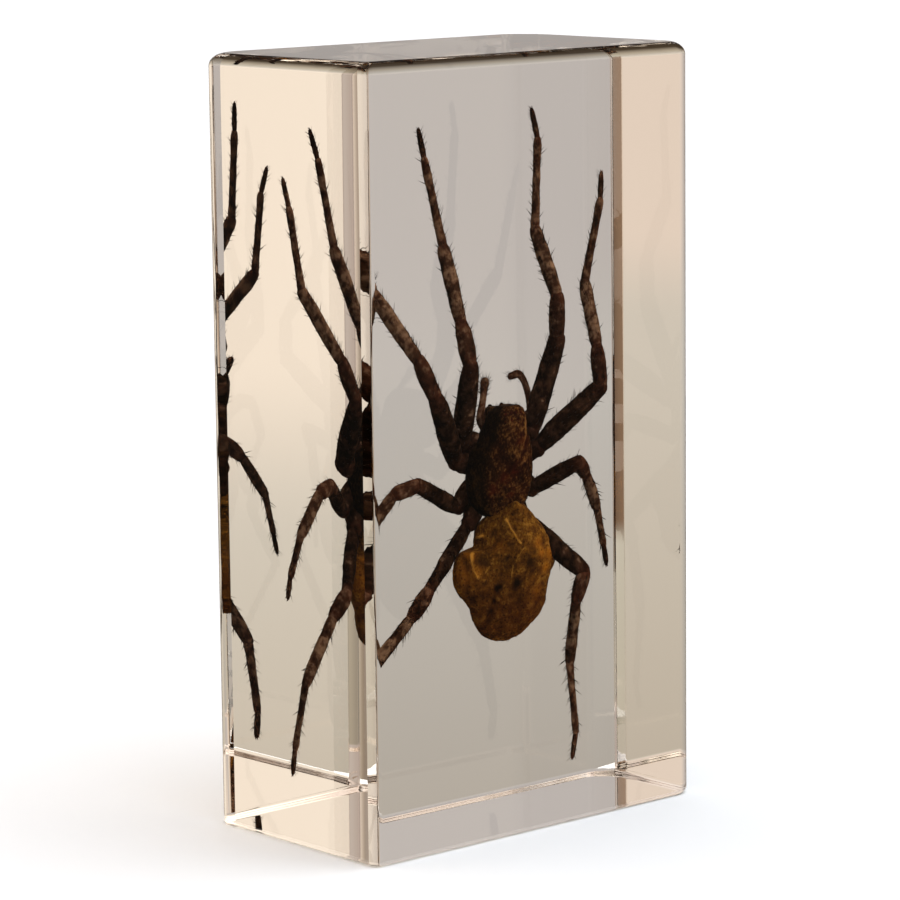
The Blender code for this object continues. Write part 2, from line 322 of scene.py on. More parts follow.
@dataclass(frozen=True)
class HairyCuticle(Finish):
    """Dried spider cuticle under a close coat of short hairs, as on the legs and palps.

    To the eye it is a dark, dull brown, streaked lengthwise by the lying hairs, with
    rusty patches at the knees where the hair is thin. The thighs are nearly black.
    """

    title: str = "hairy_cuticle"
    browns: Tones = ((0.52, "#0f0a05"), (0.78, "#36261b"), (1.0, "#77604d"))
    rust: str = "#55291a"
    patch_size: float = 1.1 * MM
    streak_width: float = 0.09 * MM
    streak_stretch: float = 0.16  # a streak's width as a share of its length
    streak_share: float = 0.55  # its strength beside the patches
    hair_height: float = 0.03 * MM
    hair_strength: float = 0.5
    roughness: float = 0.62

    def surface(self, tree: NodeTree) -> dict:
        """Draws the streaks of hair, the patches, the rust and the painted shade of the shrink furrows.

        Args:
            tree: The material's nodes.

        Returns:
            The shader's inputs.
        """
        place = add_node(tree, "TexCoord").outputs["Object"]
        limb = add_node(tree, "Attribute", {"attribute_name": LIMB_PLACE}).outputs["Vector"]
        warmth, paleness = [
            add_node(tree, "Attribute", {"attribute_name": name}).outputs["Fac"]
            for name in (WARMTH, RELIEF)
        ]
        along = add_node(tree, "Mapping", inputs={
            "Vector": limb, "Scale": (1, 1, self.streak_stretch),
        })
        streaks = add_node(tree, "TexNoise", inputs={
            "Vector": along.outputs[0], "Scale": 1 / self.streak_width, "Detail": 3.0, "Roughness": 0.6,
        })
        patches = add_node(tree, "TexNoise", inputs={
            "Vector": place, "Scale": 1 / self.patch_size, "Detail": 4.0, "Roughness": 0.55,
        })
        mottled = add_node(tree, "Math", {"operation": "MULTIPLY_ADD"}, {
            0: streaks.outputs["Fac"], 1: self.streak_share, 2: patches.outputs["Fac"],
        })
        # Each segment's own paleness, plus painted shade: the furrows' ridges paler, the furrows darker.
        paled = add_node(tree, "Math", inputs={0: mottled.outputs[0], 1: paleness})
        brown = add_node(tree, "ValToRGB", inputs={"Fac": paled.outputs[0]}, stops=self.browns)
        rusty = add_node(tree, "Math", {"operation": "MULTIPLY", "use_clamp": True}, {
            0: patches.outputs["Fac"], 1: warmth,
        })
        colour = add_node(tree, "Mix", {"data_type": "RGBA"}, {
            MIX_FACTOR: rusty.outputs[0], MIX_A: brown.outputs[0], MIX_B: linear(self.rust),
        })
        hairs = add_node(tree, "Bump", inputs={
            "Strength": self.hair_strength, "Distance": self.hair_height, "Height": streaks.outputs["Fac"],
        })
        return {
            "Base Color": colour.outputs[MIX_RESULT], "Roughness": self.roughness,
            "IOR": WETTED_IOR, "Normal": hairs.outputs[0],
        }


@dataclass(frozen=True)
class ShieldCuticle(Finish):
    """The thick cuticle of the head shield and breast plate, with worn short hair.

    To the eye it is blackish brown and satin, with rusty skin in the furrows, where the
    hair is rubbed off, and a greyish edge. Its grooves and flanks are painted darker, as
    shade, and its raised rims paler.
    """

    title: str = "shield_cuticle"
    browns: Tones = ((0.5, "#0a0603"), (0.7, "#2c1b0b"), (0.96, "#7b572d"))
    rust: str = "#5c200e"
    flank_shade: str = "#0a0603"
    grain: float = 0.26 * MM
    grain_stretch: float = 0.75  # a grain's width as a share of its height
    blotch: float = 1.3 * MM
    blotch_share: float = 0.4  # its strength beside the grain
    groove_shade_and_rim_paleness: float = 0.22
    bump_height: float = 0.05 * MM
    bump_strength: float = 0.6
    roughness: float = 0.5

    def surface(self, tree: NodeTree) -> dict:
        """Draws the grain, the blotches, the rusty furrows, and painted shade in the grooves and on the
        flanks.

        Args:
            tree: The material's nodes.

        Returns:
            The shader's inputs.
        """
        place = add_node(tree, "TexCoord").outputs["Object"]
        relief, warmth, stain = [
            add_node(tree, "Attribute", {"attribute_name": name}).outputs["Fac"]
            for name in (RELIEF, WARMTH, STAIN)
        ]
        upright = add_node(tree, "Mapping", inputs={
            "Vector": place, "Scale": (1, 1, self.grain_stretch),
        })
        grain = add_node(tree, "TexNoise", inputs={
            "Vector": upright.outputs[0], "Scale": 1 / self.grain, "Detail": 3.0, "Roughness": 0.65,
        })
        blotches = add_node(tree, "TexNoise", inputs={
            "Vector": place, "Scale": 1 / self.blotch, "Detail": 4.0, "Roughness": 0.6,
        })
        mottled = add_node(tree, "Math", {"operation": "MULTIPLY_ADD"}, {
            0: blotches.outputs["Fac"], 1: self.blotch_share, 2: grain.outputs["Fac"],
        })
        # Painted shade: the relief makes grooves darker and ridges and rims paler.
        raised = add_node(tree, "Math", {"operation": "MULTIPLY_ADD"}, {
            0: relief, 1: self.groove_shade_and_rim_paleness, 2: mottled.outputs[0],
        })
        brown = add_node(tree, "ValToRGB", inputs={"Fac": raised.outputs[0]}, stops=self.browns)
        rusty = add_node(tree, "Math", {"operation": "MULTIPLY", "use_clamp": True}, {
            0: blotches.outputs["Fac"], 1: warmth,
        })
        colour = brown.outputs[0]
        # The flank tint is painted shade where the shield turns away from the light.
        for share, tint in ((rusty.outputs[0], self.rust), (stain, self.flank_shade)):
            layer = add_node(tree, "Mix", {"data_type": "RGBA"}, {
                MIX_FACTOR: share, MIX_A: colour, MIX_B: linear(tint),
            })
            colour = layer.outputs[MIX_RESULT]
        bump = add_node(tree, "Bump", inputs={
            "Strength": self.bump_strength, "Distance": self.bump_height, "Height": grain.outputs["Fac"],
        })
        return {
            "Base Color": colour, "Roughness": self.roughness, "IOR": WETTED_IOR, "Normal": bump.outputs[0],
        }


@dataclass(frozen=True)
class ShrunkenSkin(Finish):
    """The soft skin of the abdomen, dried and drawn into folds.

    To the eye it is tobacco brown and leathery, nearly black in the pits over the muscles,
    and peppered with hair roots. Painted light gives the rest: an amber glow where light
    gets through the thin crests, golden highlights on the crests, and shade in the folds.
    """

    title: str = "shrunken_skin"
    browns: Tones = ((0.56, "#38230c"), (0.74, "#563712"), (0.88, "#704b19"), (1.0, "#946829"))
    deep: str = "#180d05"
    # Painted glow where light would get through the thin skin.
    amber: str = "#a9681c"
    # Painted highlight on the crests, for the glints of the wet skin.
    crest_highlight: str = "#e3a545"
    red_brown: str = "#4a240d"
    blotch: float = 0.9 * MM
    grain: float = 0.24 * MM
    grain_share: float = 0.6  # its strength beside the blotches
    # Painted light and shade: raised folds paler, furrows and pits darker.
    fold_light_and_shade: float = 0.3
    red_below: tuple[float, float] = (20.5 * MM, 25.0 * MM)  # heights between which the red sets in
    most_red: float = 0.6
    # Painted highlight: the relief over which a crest gets it, and its greatest share.
    highlight_relief: tuple[float, float] = (0.5, 1.2)  # relief over which a crest turns golden
    strongest_highlight: float = 0.75
    pepper_size: float = 0.38 * MM
    root: tuple[float, float] = (0.1, 0.36)  # radii over which a hair root fades, as shares of that
    darkest_root: float = 0.75
    bump_height: float = 0.08 * MM
    bump_strength: float = 0.8
    roughness: float = 0.46

    def surface(self, tree: NodeTree) -> dict:
        """Draws the blotches, the red foot, the painted light and shade of the folds, the painted glow, the
        painted highlights on the crests and the roots.

        Args:
            tree: The material's nodes.

        Returns:
            The shader's inputs.
        """
        place = add_node(tree, "TexCoord").outputs["Object"]
        relief, stain, thin = [
            add_node(tree, "Attribute", {"attribute_name": name}).outputs["Fac"]
            for name in (RELIEF, STAIN, WARMTH)
        ]
        blotches = add_node(tree, "TexNoise", inputs={
            "Vector": place, "Scale": 1 / self.blotch, "Detail": 5.0, "Roughness": 0.62,
        })
        grain = add_node(tree, "TexNoise", inputs={
            "Vector": place, "Scale": 1 / self.grain, "Detail": 2.0, "Roughness": 0.6,
        })
        mottled = add_node(tree, "Math", {"operation": "MULTIPLY_ADD"}, {
            0: grain.outputs["Fac"], 1: self.grain_share, 2: blotches.outputs["Fac"],
        })
        # Painted light and shade of the folds: raised places paler, furrows darker.
        raised = add_node(tree, "Math", {"operation": "MULTIPLY_ADD"}, {
            0: relief, 1: self.fold_light_and_shade, 2: mottled.outputs[0],
        })
        brown = add_node(tree, "ValToRGB", inputs={"Fac": raised.outputs[0]}, stops=self.browns)
        height = add_node(tree, "SeparateXYZ", inputs={0: place}).outputs["Z"]
        redness = add_node(tree, "MapRange", inputs={
            "Value": height, "From Min": self.red_below[0], "From Max": self.red_below[1],
            "To Min": self.most_red, "To Max": 0.0,
        })
        # Painted glow: amber where light would get through the thin skin.
        glow = add_node(tree, "Math", {"operation": "MULTIPLY", "use_clamp": True}, {
            0: thin, 1: mottled.outputs[0],
        })
        # Painted highlight on the crests.
        crest = add_node(tree, "MapRange", inputs={
            "Value": relief, "From Min": self.highlight_relief[0], "From Max": self.highlight_relief[1], "To Max": self.strongest_highlight,
        })
        pepper = add_node(tree, "TexVoronoi", inputs={
            "Vector": place, "Scale": 1 / self.pepper_size,
        })
        roots = add_node(tree, "MapRange", inputs={
            "Value": pepper.outputs["Distance"], "From Min": self.root[0], "From Max": self.root[1],
            "To Min": self.darkest_root, "To Max": 0.0,
        })
        marks = add_node(tree, "Math", {"operation": "MAXIMUM"}, {0: roots.outputs[0], 1: stain})
        colour = brown.outputs[0]
        for share, tint in (
            (redness, self.red_brown), (glow, self.amber), (crest, self.crest_highlight), (marks, self.deep),
        ):
            layer = add_node(tree, "Mix", {"data_type": "RGBA"}, {
                MIX_FACTOR: share.outputs[0], MIX_A: colour, MIX_B: linear(tint),
            })
            colour = layer.outputs[MIX_RESULT]
        bump = add_node(tree, "Bump", inputs={
            "Strength": self.bump_strength, "Distance": self.bump_height, "Height": mottled.outputs[0],
        })
        return {
            "Base Color": colour, "Roughness": self.roughness, "IOR": WETTED_IOR, "Normal": bump.outputs[0],
        }


@dataclass(frozen=True)
class BareHorn(Finish):
    """Bare hardened cuticle in two tones: dark, and a little paler here and there."""

    title: str
    tones: Tones
    patch_size: float
    roughness: float

    def surface(self, tree: NodeTree) -> dict:
        """Draws the patches.

        Args:
            tree: The material's nodes.

        Returns:
            The shader's inputs.
        """
        place = add_node(tree, "TexCoord").outputs["Object"]
        patches = add_node(tree, "TexNoise", inputs={
            "Vector": place, "Scale": 1 / self.patch_size,
        })
        colour = add_node(tree, "ValToRGB", inputs={"Fac": patches.outputs["Fac"]}, stops=self.tones)
        return {
            "Base Color": colour.outputs[0], "Roughness": self.roughness, "IOR": WETTED_HORN_IOR,
        }


# Fangs, claws and eyes are black-brown and glossy; hairs and spines are thin and satin.
HARD_TIP = BareHorn("hard_cuticle", ((0.4, "#120a06"), (0.7, "#4a1f10")), 0.5 * MM, 0.2)
BRISTLE_HORN = BareHorn("bristle_horn", ((0.4, "#120b07"), (0.65, "#35271c")), 0.8 * MM, 0.45)


@dataclass(frozen=True)
class MattPaper(Finish):
    """The pale paper of the studio's floor: matt, with a hint of fibres."""

    title: str = "matt_white_paper"
    colour: str = "#e8eef3"
    fibre_size: float = MM / 0.9
    fibre_height: float = 0.05 * MM
    fibre_strength: float = 0.05
    roughness: float = 0.9

    def surface(self, tree: NodeTree) -> dict:
        """Draws the fibres.

        Args:
            tree: The material's nodes.

        Returns:
            The shader's inputs.
        """
        place = add_node(tree, "TexCoord").outputs["Object"]
        fibres = add_node(tree, "TexNoise", inputs={
            "Vector": place, "Scale": 1 / self.fibre_size, "Detail": 3.0,
        })
        bump = add_node(tree, "Bump", inputs={
            "Strength": self.fibre_strength, "Distance": self.fibre_height, "Height": fibres.outputs["Fac"],
        })
        return {
            "Base Color": linear(self.colour), "Roughness": self.roughness, "Normal": bump.outputs[0],
        }


@dataclass(frozen=True)
class SpiderFinishes:
    """The finishes that the spider's pieces share."""

    limb: Material
    shield: Material
    skin: Material
    hard: Material
    bristle: Material

    @classmethod
    def made(cls) -> "SpiderFinishes":
        """Builds every finish once."""
        finishes = (HairyCuticle(), ShieldCuticle(), ShrunkenSkin(), HARD_TIP, BRISTLE_HORN)
        return cls(*(finish.material() for finish in finishes))


# Lofted shapes ------------------------------------------------------------------------


@dataclass(frozen=True)
class Station:
    """One ring of a loft: where it stands, how far along it is and what it carries."""

    matrix: Matrix  # places an outline of radius 1
    along: float = 0.0  # metres from the loft's start
    radius: float = 0.0  # metres
    warmth: float = 0.0

    def moved_to(self, x: float, y: float) -> Vector:
        """The place of a point of the ring's own plane."""
        return self.matrix @ Vector((x, y, 0.0))


def stand(
    middle: Vector, across: Vector, outward: Vector, along: Vector, width: float, depth: float
) -> Matrix:
    """Places the unit outline.

    Args:
        middle: The ring's middle.
        across: The direction of its width.
        outward: The direction of its depth.
        along: The direction of the loft.
        width: Half its width in metres.
        depth: Half its depth in metres.

    Returns:
        The placing matrix.
    """
    turned = Matrix((across * width, outward * depth, along)).transposed().to_4x4()
    return Matrix.Translation(middle) @ turned


def loft(stations: Sequence[Station], sides: int, squareness: float = 2.0) -> BMesh:
    """Draws a closed skin through stations by extruding one outline.

    Args:
        stations: The rings in order.
        sides: The outline's corners.
        squareness: 2 for an ellipse, more for a boxier outline and less for a pinched one.

    Returns:
        The skin, which carries limb_place and warmth.
    """
    bm = bmesh.new()
    place_layer = bm.verts.layers.float_vector.new(LIMB_PLACE)
    warmth_layer = bm.verts.layers.float.new(WARMTH)
    bm.verts.layers.float.new(RELIEF)
    bm.verts.layers.float.new(STAIN)
    ring = bmesh.ops.create_circle(bm, cap_ends=True, radius=1.0, segments=sides)["verts"]
    power = 2.0 / squareness
    for vert in ring:
        x, y, _ = vert.co
        vert[place_layer] = (x * stations[0].radius, y * stations[0].radius, stations[0].along)
        vert[warmth_layer] = stations[0].warmth
        vert.co.x = abs(x) ** power * (1 if x > 0 else -1)
        vert.co.y = abs(y) ** power * (1 if y > 0 else -1)
    bmesh.ops.transform(bm, matrix=stations[0].matrix, verts=ring)
    end = bm.verts[:] + bm.edges[:] + bm.faces[:]
    for before, after in zip(stations, stations[1:]):
        end = bmesh.ops.extrude_face_region(bm, geom=end)["geom"]
        moved = [item for item in end if isinstance(item, BMVert)]
        bmesh.ops.transform(bm, matrix=after.matrix @ before.matrix.inverted(), verts=moved)
        for vert in moved:
            x, y, _ = vert[place_layer]
            vert[place_layer] = (x, y, after.along)
            vert[warmth_layer] = after.warmth
    bmesh.ops.recalc_face_normals(bm, faces=bm.faces[:])
    bm.normal_update()
    return bm


def joined(shapes: Sequence[BMesh]) -> BMesh:
    """Puts closed shells into one bmesh.

    Args:
        shapes: The shells; all but the first are freed.

    Returns:
        The first one, with the others in it.
    """
    whole = shapes[0]
    for shape in shapes[1:]:
        mesh = bpy.data.meshes.new("shell")
        shape.to_mesh(mesh)
        shape.free()
        whole.from_mesh(mesh)
        bpy.data.meshes.remove(mesh)
    whole.normal_update()
    return whole


@dataclass(frozen=True)
class BodyShape:
    """A body part as four smooth edges over its height, in millimetres."""

    left: Curve
    right: Curve
    front: Curve
    back: Curve
    foot: float
    top: float
    sides: int = 48
    rings: int = 48
    squareness: float = 2.0

    @classmethod
    def from_slices(
        cls, slices: Rows, sides: int = 48, rings: int = 48, squareness: float = 2.0
    ) -> "BodyShape":
        """Takes the edges from slices.

        Args:
            slices: Height, left edge, right edge, front and back of each slice.
            sides: Corners of a ring.
            rings: Rings over the height.
            squareness: How boxy a ring is.

        Returns:
            The shape.
        """
        rising = sorted(slices)
        edges = [tuple((row[0], row[column]) for row in rising) for column in (1, 2, 3, 4)]
        return cls(*edges, rising[0][0], rising[-1][0], sides, rings, squareness)

    def edges(self, height: float) -> tuple[float, float, float, float]:
        """Reads the four edges.

        Args:
            height: Where, in millimetres.

        Returns:
            Left, right, front and back.
        """
        curves = (self.left, self.right, self.front, self.back)
        left, right, front, back = [smooth_reading(curve, height) for curve in curves]
        return left, right, front, back

    def stations(self) -> list[Station]:
        """Spaces the rings, closer together towards the ends.

        Returns:
            The stations from the foot up.
        """
        stations = []
        for number in range(self.rings + 1):
            share = (1 - cos(pi * number / self.rings)) / 2
            height = self.foot + (self.top - self.foot) * share
            left, right, front, back = self.edges(height)
            middle = Vector(((left + right) / 2, (front + back) / 2, height)) * MM
            width, depth = (right - left) / 2 * MM, (back - front) / 2 * MM
            matrix = stand(middle, X_AXIS, Y_AXIS, Z_AXIS, width, depth)
            stations.append(Station(matrix, height * MM, min(width, depth)))
        return stations

    def build(self) -> BMesh:
        """Lofts the part."""
        return loft(self.stations(), self.sides, self.squareness)


def sculpt(bm: BMesh, relief: Shaper, scale: float) -> None:
    """Raises and lowers a skin along its normals.

    Args:
        bm: The skin.
        relief: Gives the height as a share of scale, the stain and the warmth, from a
            place in millimetres and the skin's normal there.
        scale: The height, in metres, of a relief of 1.
    """
    relief_layer = bm.verts.layers.float[RELIEF]
    stain_layer, warmth_layer = bm.verts.layers.float[STAIN], bm.verts.layers.float[WARMTH]
    bm.normal_update()
    moves = [(vert, *relief(vert.co / MM, vert.normal)) for vert in bm.verts]
    for vert, height, stain, warmth in moves:
        vert.co += vert.normal * (height * scale)
        vert[relief_layer], vert[stain_layer], vert[warmth_layer] = height, stain, warmth
    bm.normal_update()


LEAST_STRETCHES = 4  # between the stations of a small limb
DOME_ANGLES = (30, 55, 75)  # degrees round a limb's end, for the rings that close it
DOME_HEIGHT = 0.8  # as a share of the limb's radius


def limb_curve(points: Rows, spacing: float, warmth: float = 0.3) -> list[Station]:
    """Runs smooth stations through the points of a small limb.

    Args:
        points: x, depth, height and radius of each point in millimetres.
        spacing: Millimetres between stations.
        warmth: How reddish the limb is.

    Returns:
        The stations, with domed ends.
    """
    places = [Vector(point[:3]) for point in points]
    reach = [0.0]
    for before, after in zip(places, places[1:]):
        reach.append(reach[-1] + (after - before).length)
    columns = [tuple((far, point[column]) for far, point in zip(reach, points)) for column in range(4)]
    count = max(int(reach[-1] / spacing), LEAST_STRETCHES)
    samples = [
        Vector([smooth_reading(column, reach[-1] * number / count) for column in columns])
        for number in range(count + 1)
    ]
    centres = [Vector(sample[:3]) for sample in samples]
    along = (centres[1] - centres[0]).normalized()
    across = along.orthogonal().normalized()
    stations = []
    for number, (centre, sample) in enumerate(zip(centres, samples)):
        ahead = (centres[min(number + 1, count)] - centres[max(number - 1, 0)]).normalized()
        across.rotate(along.rotation_difference(ahead))
        along = ahead
        radius = sample[3] * MM
        matrix = stand(centre * MM, across, along.cross(across), along, radius, radius)
        stations.append(Station(matrix, reach[-1] * MM * number / count, radius, warmth))
    return [*dome(stations[0], -1), *stations, *dome(stations[-1], 1)]


def dome(end: Station, sign: int) -> list[Station]:
    """Rounds off a limb.

    Args:
        end: Its last full ring.
        sign: -1 before the start and 1 past the end.

    Returns:
        The closing rings, in the loft's order.
    """
    rings = []
    for angle in DOME_ANGLES:
        shrink = cos(radians(angle))
        rise = sin(radians(angle)) * end.radius * DOME_HEIGHT * sign
        matrix = end.matrix @ Matrix.Translation((0, 0, rise)) @ Matrix.Diagonal((shrink, shrink, 1, 1))
        rings.append(Station(matrix, end.along + rise, end.radius * shrink, end.warmth))
    return rings if sign > 0 else rings[::-1]


# Reliefs ------------------------------------------------------------------------------


@dataclass(frozen=True)
class Fold:
    """A crest or furrow of the skin: its line as x and height, and its section."""

    path: Curve
    height: float  # above 0 for a crest
    width: float  # mm

    def reading(self, x: float, z: float) -> float:
        """The fold's height at a place."""
        return self.height * bell(path_distance(x, z, self.path), self.width)


@dataclass(frozen=True)
class Mark:
    """A round mark on the skin: x, height and radius in mm, and its strength."""

    x: float
    z: float
    radius: float
    strength: float

    def reading(self, x: float, z: float) -> float:
        """The mark's strength at a place."""
        return bell(sqrt((x - self.x) ** 2 + (z - self.z) ** 2), self.radius) * self.strength


ELSEWHERE = Vector((9, 0, 0))  # how far off the random waves are unlike those at a place


def waves(place: Vector, parts: Curve) -> float:
    """Adds up random waves, each of a height and a number per millimetre."""
    return sum(height * noise.noise(place * number) for height, number in parts)


# Hair ---------------------------------------------------------------------------------


class Hair(Enum):
    """The kinds of hair, as length from and to, thickness at the root, and lean in degrees."""

    DOWN = (0.25, 0.45, 0.05, (12, 32))
    BRISTLE = (0.5, 0.9, 0.08, (28, 55))
    SPINE = (0.8, 1.25, 0.12, (32, 55))
    BRUSH = (0.45, 0.85, 0.06, (25, 60))


@dataclass
class HairCoat:
    """Grows seeded hairs, each a thin three-sided cone, into one mesh."""

    seed: int
    bm: BMesh = field(default_factory=bmesh.new)
    stray: float = 0.35  # how far a hair may lie aside, as a share of its length
    tip: float = 0.15  # a hair's thickness at its tip, as a share of that at its root
    steepest: float = 0.9  # how square to the hairs' way a face may be and still grow one
    # A hair is refused where its root faces the wanted way by less than a cosine from here.
    turned: tuple[float, float] = (-1.2, 0.6)

    def __post_init__(self) -> None:
        """Starts the coat's own random numbers."""
        self.dice = Random(self.seed)

    def grow(self, root: Vector, outward: Vector, towards: Vector, kind: Hair) -> None:
        """Adds one hair.

        Args:
            root: Where it leaves the skin, in metres.
            outward: The skin's normal.
            towards: The direction that it lies down to.
            kind: Its kind.
        """
        shortest, longest, thickness, (least, most) = kind.value
        length = self.dice.uniform(shortest, longest) * MM
        lean = radians(self.dice.uniform(least, most))
        flat = (towards - outward * towards.dot(outward)).normalized()
        aside = flat.cross(outward) * self.dice.uniform(-self.stray, self.stray)
        direction = (outward * sin(lean) + flat * cos(lean) + aside * cos(lean)).normalized()
        turn = Z_AXIS.rotation_difference(direction).to_matrix().to_4x4()
        middle = root - outward * thickness * MM + direction * length / 2
        width = thickness * MM / 2
        bmesh.ops.create_cone(
            self.bm, cap_ends=True, segments=3, radius1=width, radius2=width * self.tip, depth=length,
            matrix=Matrix.Translation(middle) @ turn,
        )

    def cover_run(
        self, stations: Sequence[Station], count: int, kind: Hair, facing: Optional[Vector] = None
    ) -> None:
        """Scatters hairs over a stretch of a limb, all lying towards its end.

        Args:
            stations: The limb's rings.
            count: How many hairs.
            kind: Their kind.
            facing: The wanted way, if most hairs grow on the side that faces there.
        """
        grown = 0
        while grown < count:
            number = self.dice.randrange(len(stations) - 1)
            share, turn = self.dice.random(), self.dice.uniform(0, tau)
            first, second = stations[number], stations[number + 1]
            x, y = cos(turn), sin(turn)
            root = first.moved_to(x, y).lerp(second.moved_to(x, y), share)
            centre = first.matrix.translation.lerp(second.matrix.translation, share)
            outward = (root - centre).normalized()
            if facing is not None and outward.dot(facing) < self.dice.uniform(*self.turned):
                continue
            ahead = (second.matrix.translation - first.matrix.translation).normalized()
            self.grow(root, outward, ahead, kind)
            grown += 1

    def cover_skin(self, skin: BMesh, hairs: Sequence[tuple[Hair, int]], towards: Vector) -> None:
        """Scatters hairs over a body part.

        Args:
            skin: The part's skin.
            hairs: How many hairs of each kind.
            towards: The direction that they lie down to.
        """
        faces = skin.faces[:]
        for kind in [kind for kind, count in hairs for _ in range(count)]:
            face = faces[self.dice.randrange(len(faces))]
            corner = face.verts[self.dice.randrange(len(face.verts))].co
            root = face.calc_center_median().lerp(corner, self.dice.random())
            if abs(face.normal.dot(towards)) < self.steepest:
                self.grow(root, face.normal.copy(), towards, kind)


def dress_haired(name: str, skin: BMesh, finish: Material, coat: HairCoat, horn: Material) -> None:
    """Makes a part and its hairs two pieces of the spider.

    Args:
        name: The part's name.
        skin: Its shape, which is freed.
        finish: Its finish.
        coat: Its hairs, which are freed too.
        horn: The hairs' finish.
    """
    dress_spider(name, skin, finish)
    dress_spider(name + "_hair", coat.bm, horn)


# The legs -----------------------------------------------------------------------------


class Side(Enum):
    """The spider's sides as the front shows them."""

    LEFT = -1
    RIGHT = 1


class Segment(Enum):
    """A leg's segments from the hip out, with their full-radius shares along them.

    Each value is the order, the swelling at shares of the length, the warmth, how much
    paler it is than the others, and its count of spines.
    """

    COXA = (0, ((0.0, 0.8), (0.3, 1.0), (0.7, 0.98), (0.82, 0.84), (1.0, 0.9)), 0.1, -0.16, 0)
    FEMUR = (
        1, ((0.0, 0.74), (0.07, 0.88), (0.3, 1.03), (0.6, 1.0), (0.9, 0.9), (1.0, 0.82)), 0.12, -0.16, 4,
    )
    PATELLA = (2, ((0.0, 0.8), (0.15, 0.93), (0.5, 1.0), (0.85, 0.94), (1.0, 0.8)), 0.35, -0.05, 2)
    TIBIA = (
        3, ((0.0, 0.74), (0.1, 0.92), (0.35, 0.98), (0.7, 1.0), (0.92, 0.95), (1.0, 0.8)), 0.2, 0.06, 9,
    )
    METATARSUS = (
        4, ((0.0, 0.95), (0.06, 1.12), (0.2, 1.0), (0.7, 0.92), (0.94, 1.0), (1.0, 0.84)), 0.35, 0.05, 8,
    )
    TARSUS = (5, ((0.0, 0.78), (0.12, 0.96), (0.5, 1.04), (0.85, 0.92), (1.0, 0.66)), 0.15, -0.1, 0)

    def __init__(self, order: int, swelling: Curve, warmth: float, paleness: float, spines: int) -> None:
        """Gives the values their names."""
        self.order, self.swelling = order, swelling
        self.warmth, self.paleness, self.spines = warmth, paleness, spines


@dataclass(frozen=True)
class LegPair:
    """What the left and right leg of a pair share, in millimetres.

    socket is the hip's place: its reach sideways from the axis, its depth behind the
    block's middle and its height. lengths and radii run from coxa to tarsus.
    """

    socket: tuple[float, float, float]
    lengths: tuple[float, ...]
    radii: tuple[float, ...]


LEG_PAIRS = {
    1: LegPair((2.3, 1.7, 36.0), (2.2, 9.3, 4.3, 7.8, 8.5, 2.9), (1.15, 1.17, 0.93, 0.8, 0.48, 0.32)),
    2: LegPair((2.8, 1.8, 34.3), (2.5, 9.2, 4.2, 8.2, 7.9, 2.7), (1.15, 1.12, 0.9, 0.76, 0.47, 0.32)),
    3: LegPair((2.8, 1.9, 32.4), (2.6, 6.3, 2.5, 4.8, 4.1, 2.1), (1.0, 0.84, 0.78, 0.66, 0.42, 0.31)),
    4: LegPair((2.2, 1.8, 30.7), (2.6, 9.1, 3.1, 7.7, 7.2, 2.5), (1.1, 1.0, 0.86, 0.68, 0.42, 0.31)),
}

AXIS_FOOT = 30.0  # height, in mm, at which the spider's axis is AXIS_OFFSET off the block's middle
AXIS_OFFSET = 1.05
AXIS_LEAN = 0.06  # mm to the right for each mm up


def axis_x(height: float) -> float:
    """The x of the spider's long axis at a height, all in millimetres."""
    return AXIS_OFFSET + AXIS_LEAN * (height - AXIS_FOOT)


@dataclass(frozen=True)
class Move:
    """One joint's shift off the leg's walk, in mm: sideways, up, and nearer along the sight."""

    joint: int
    x: float = 0.0
    z: float = 0.0
    nearer: float = 0.0


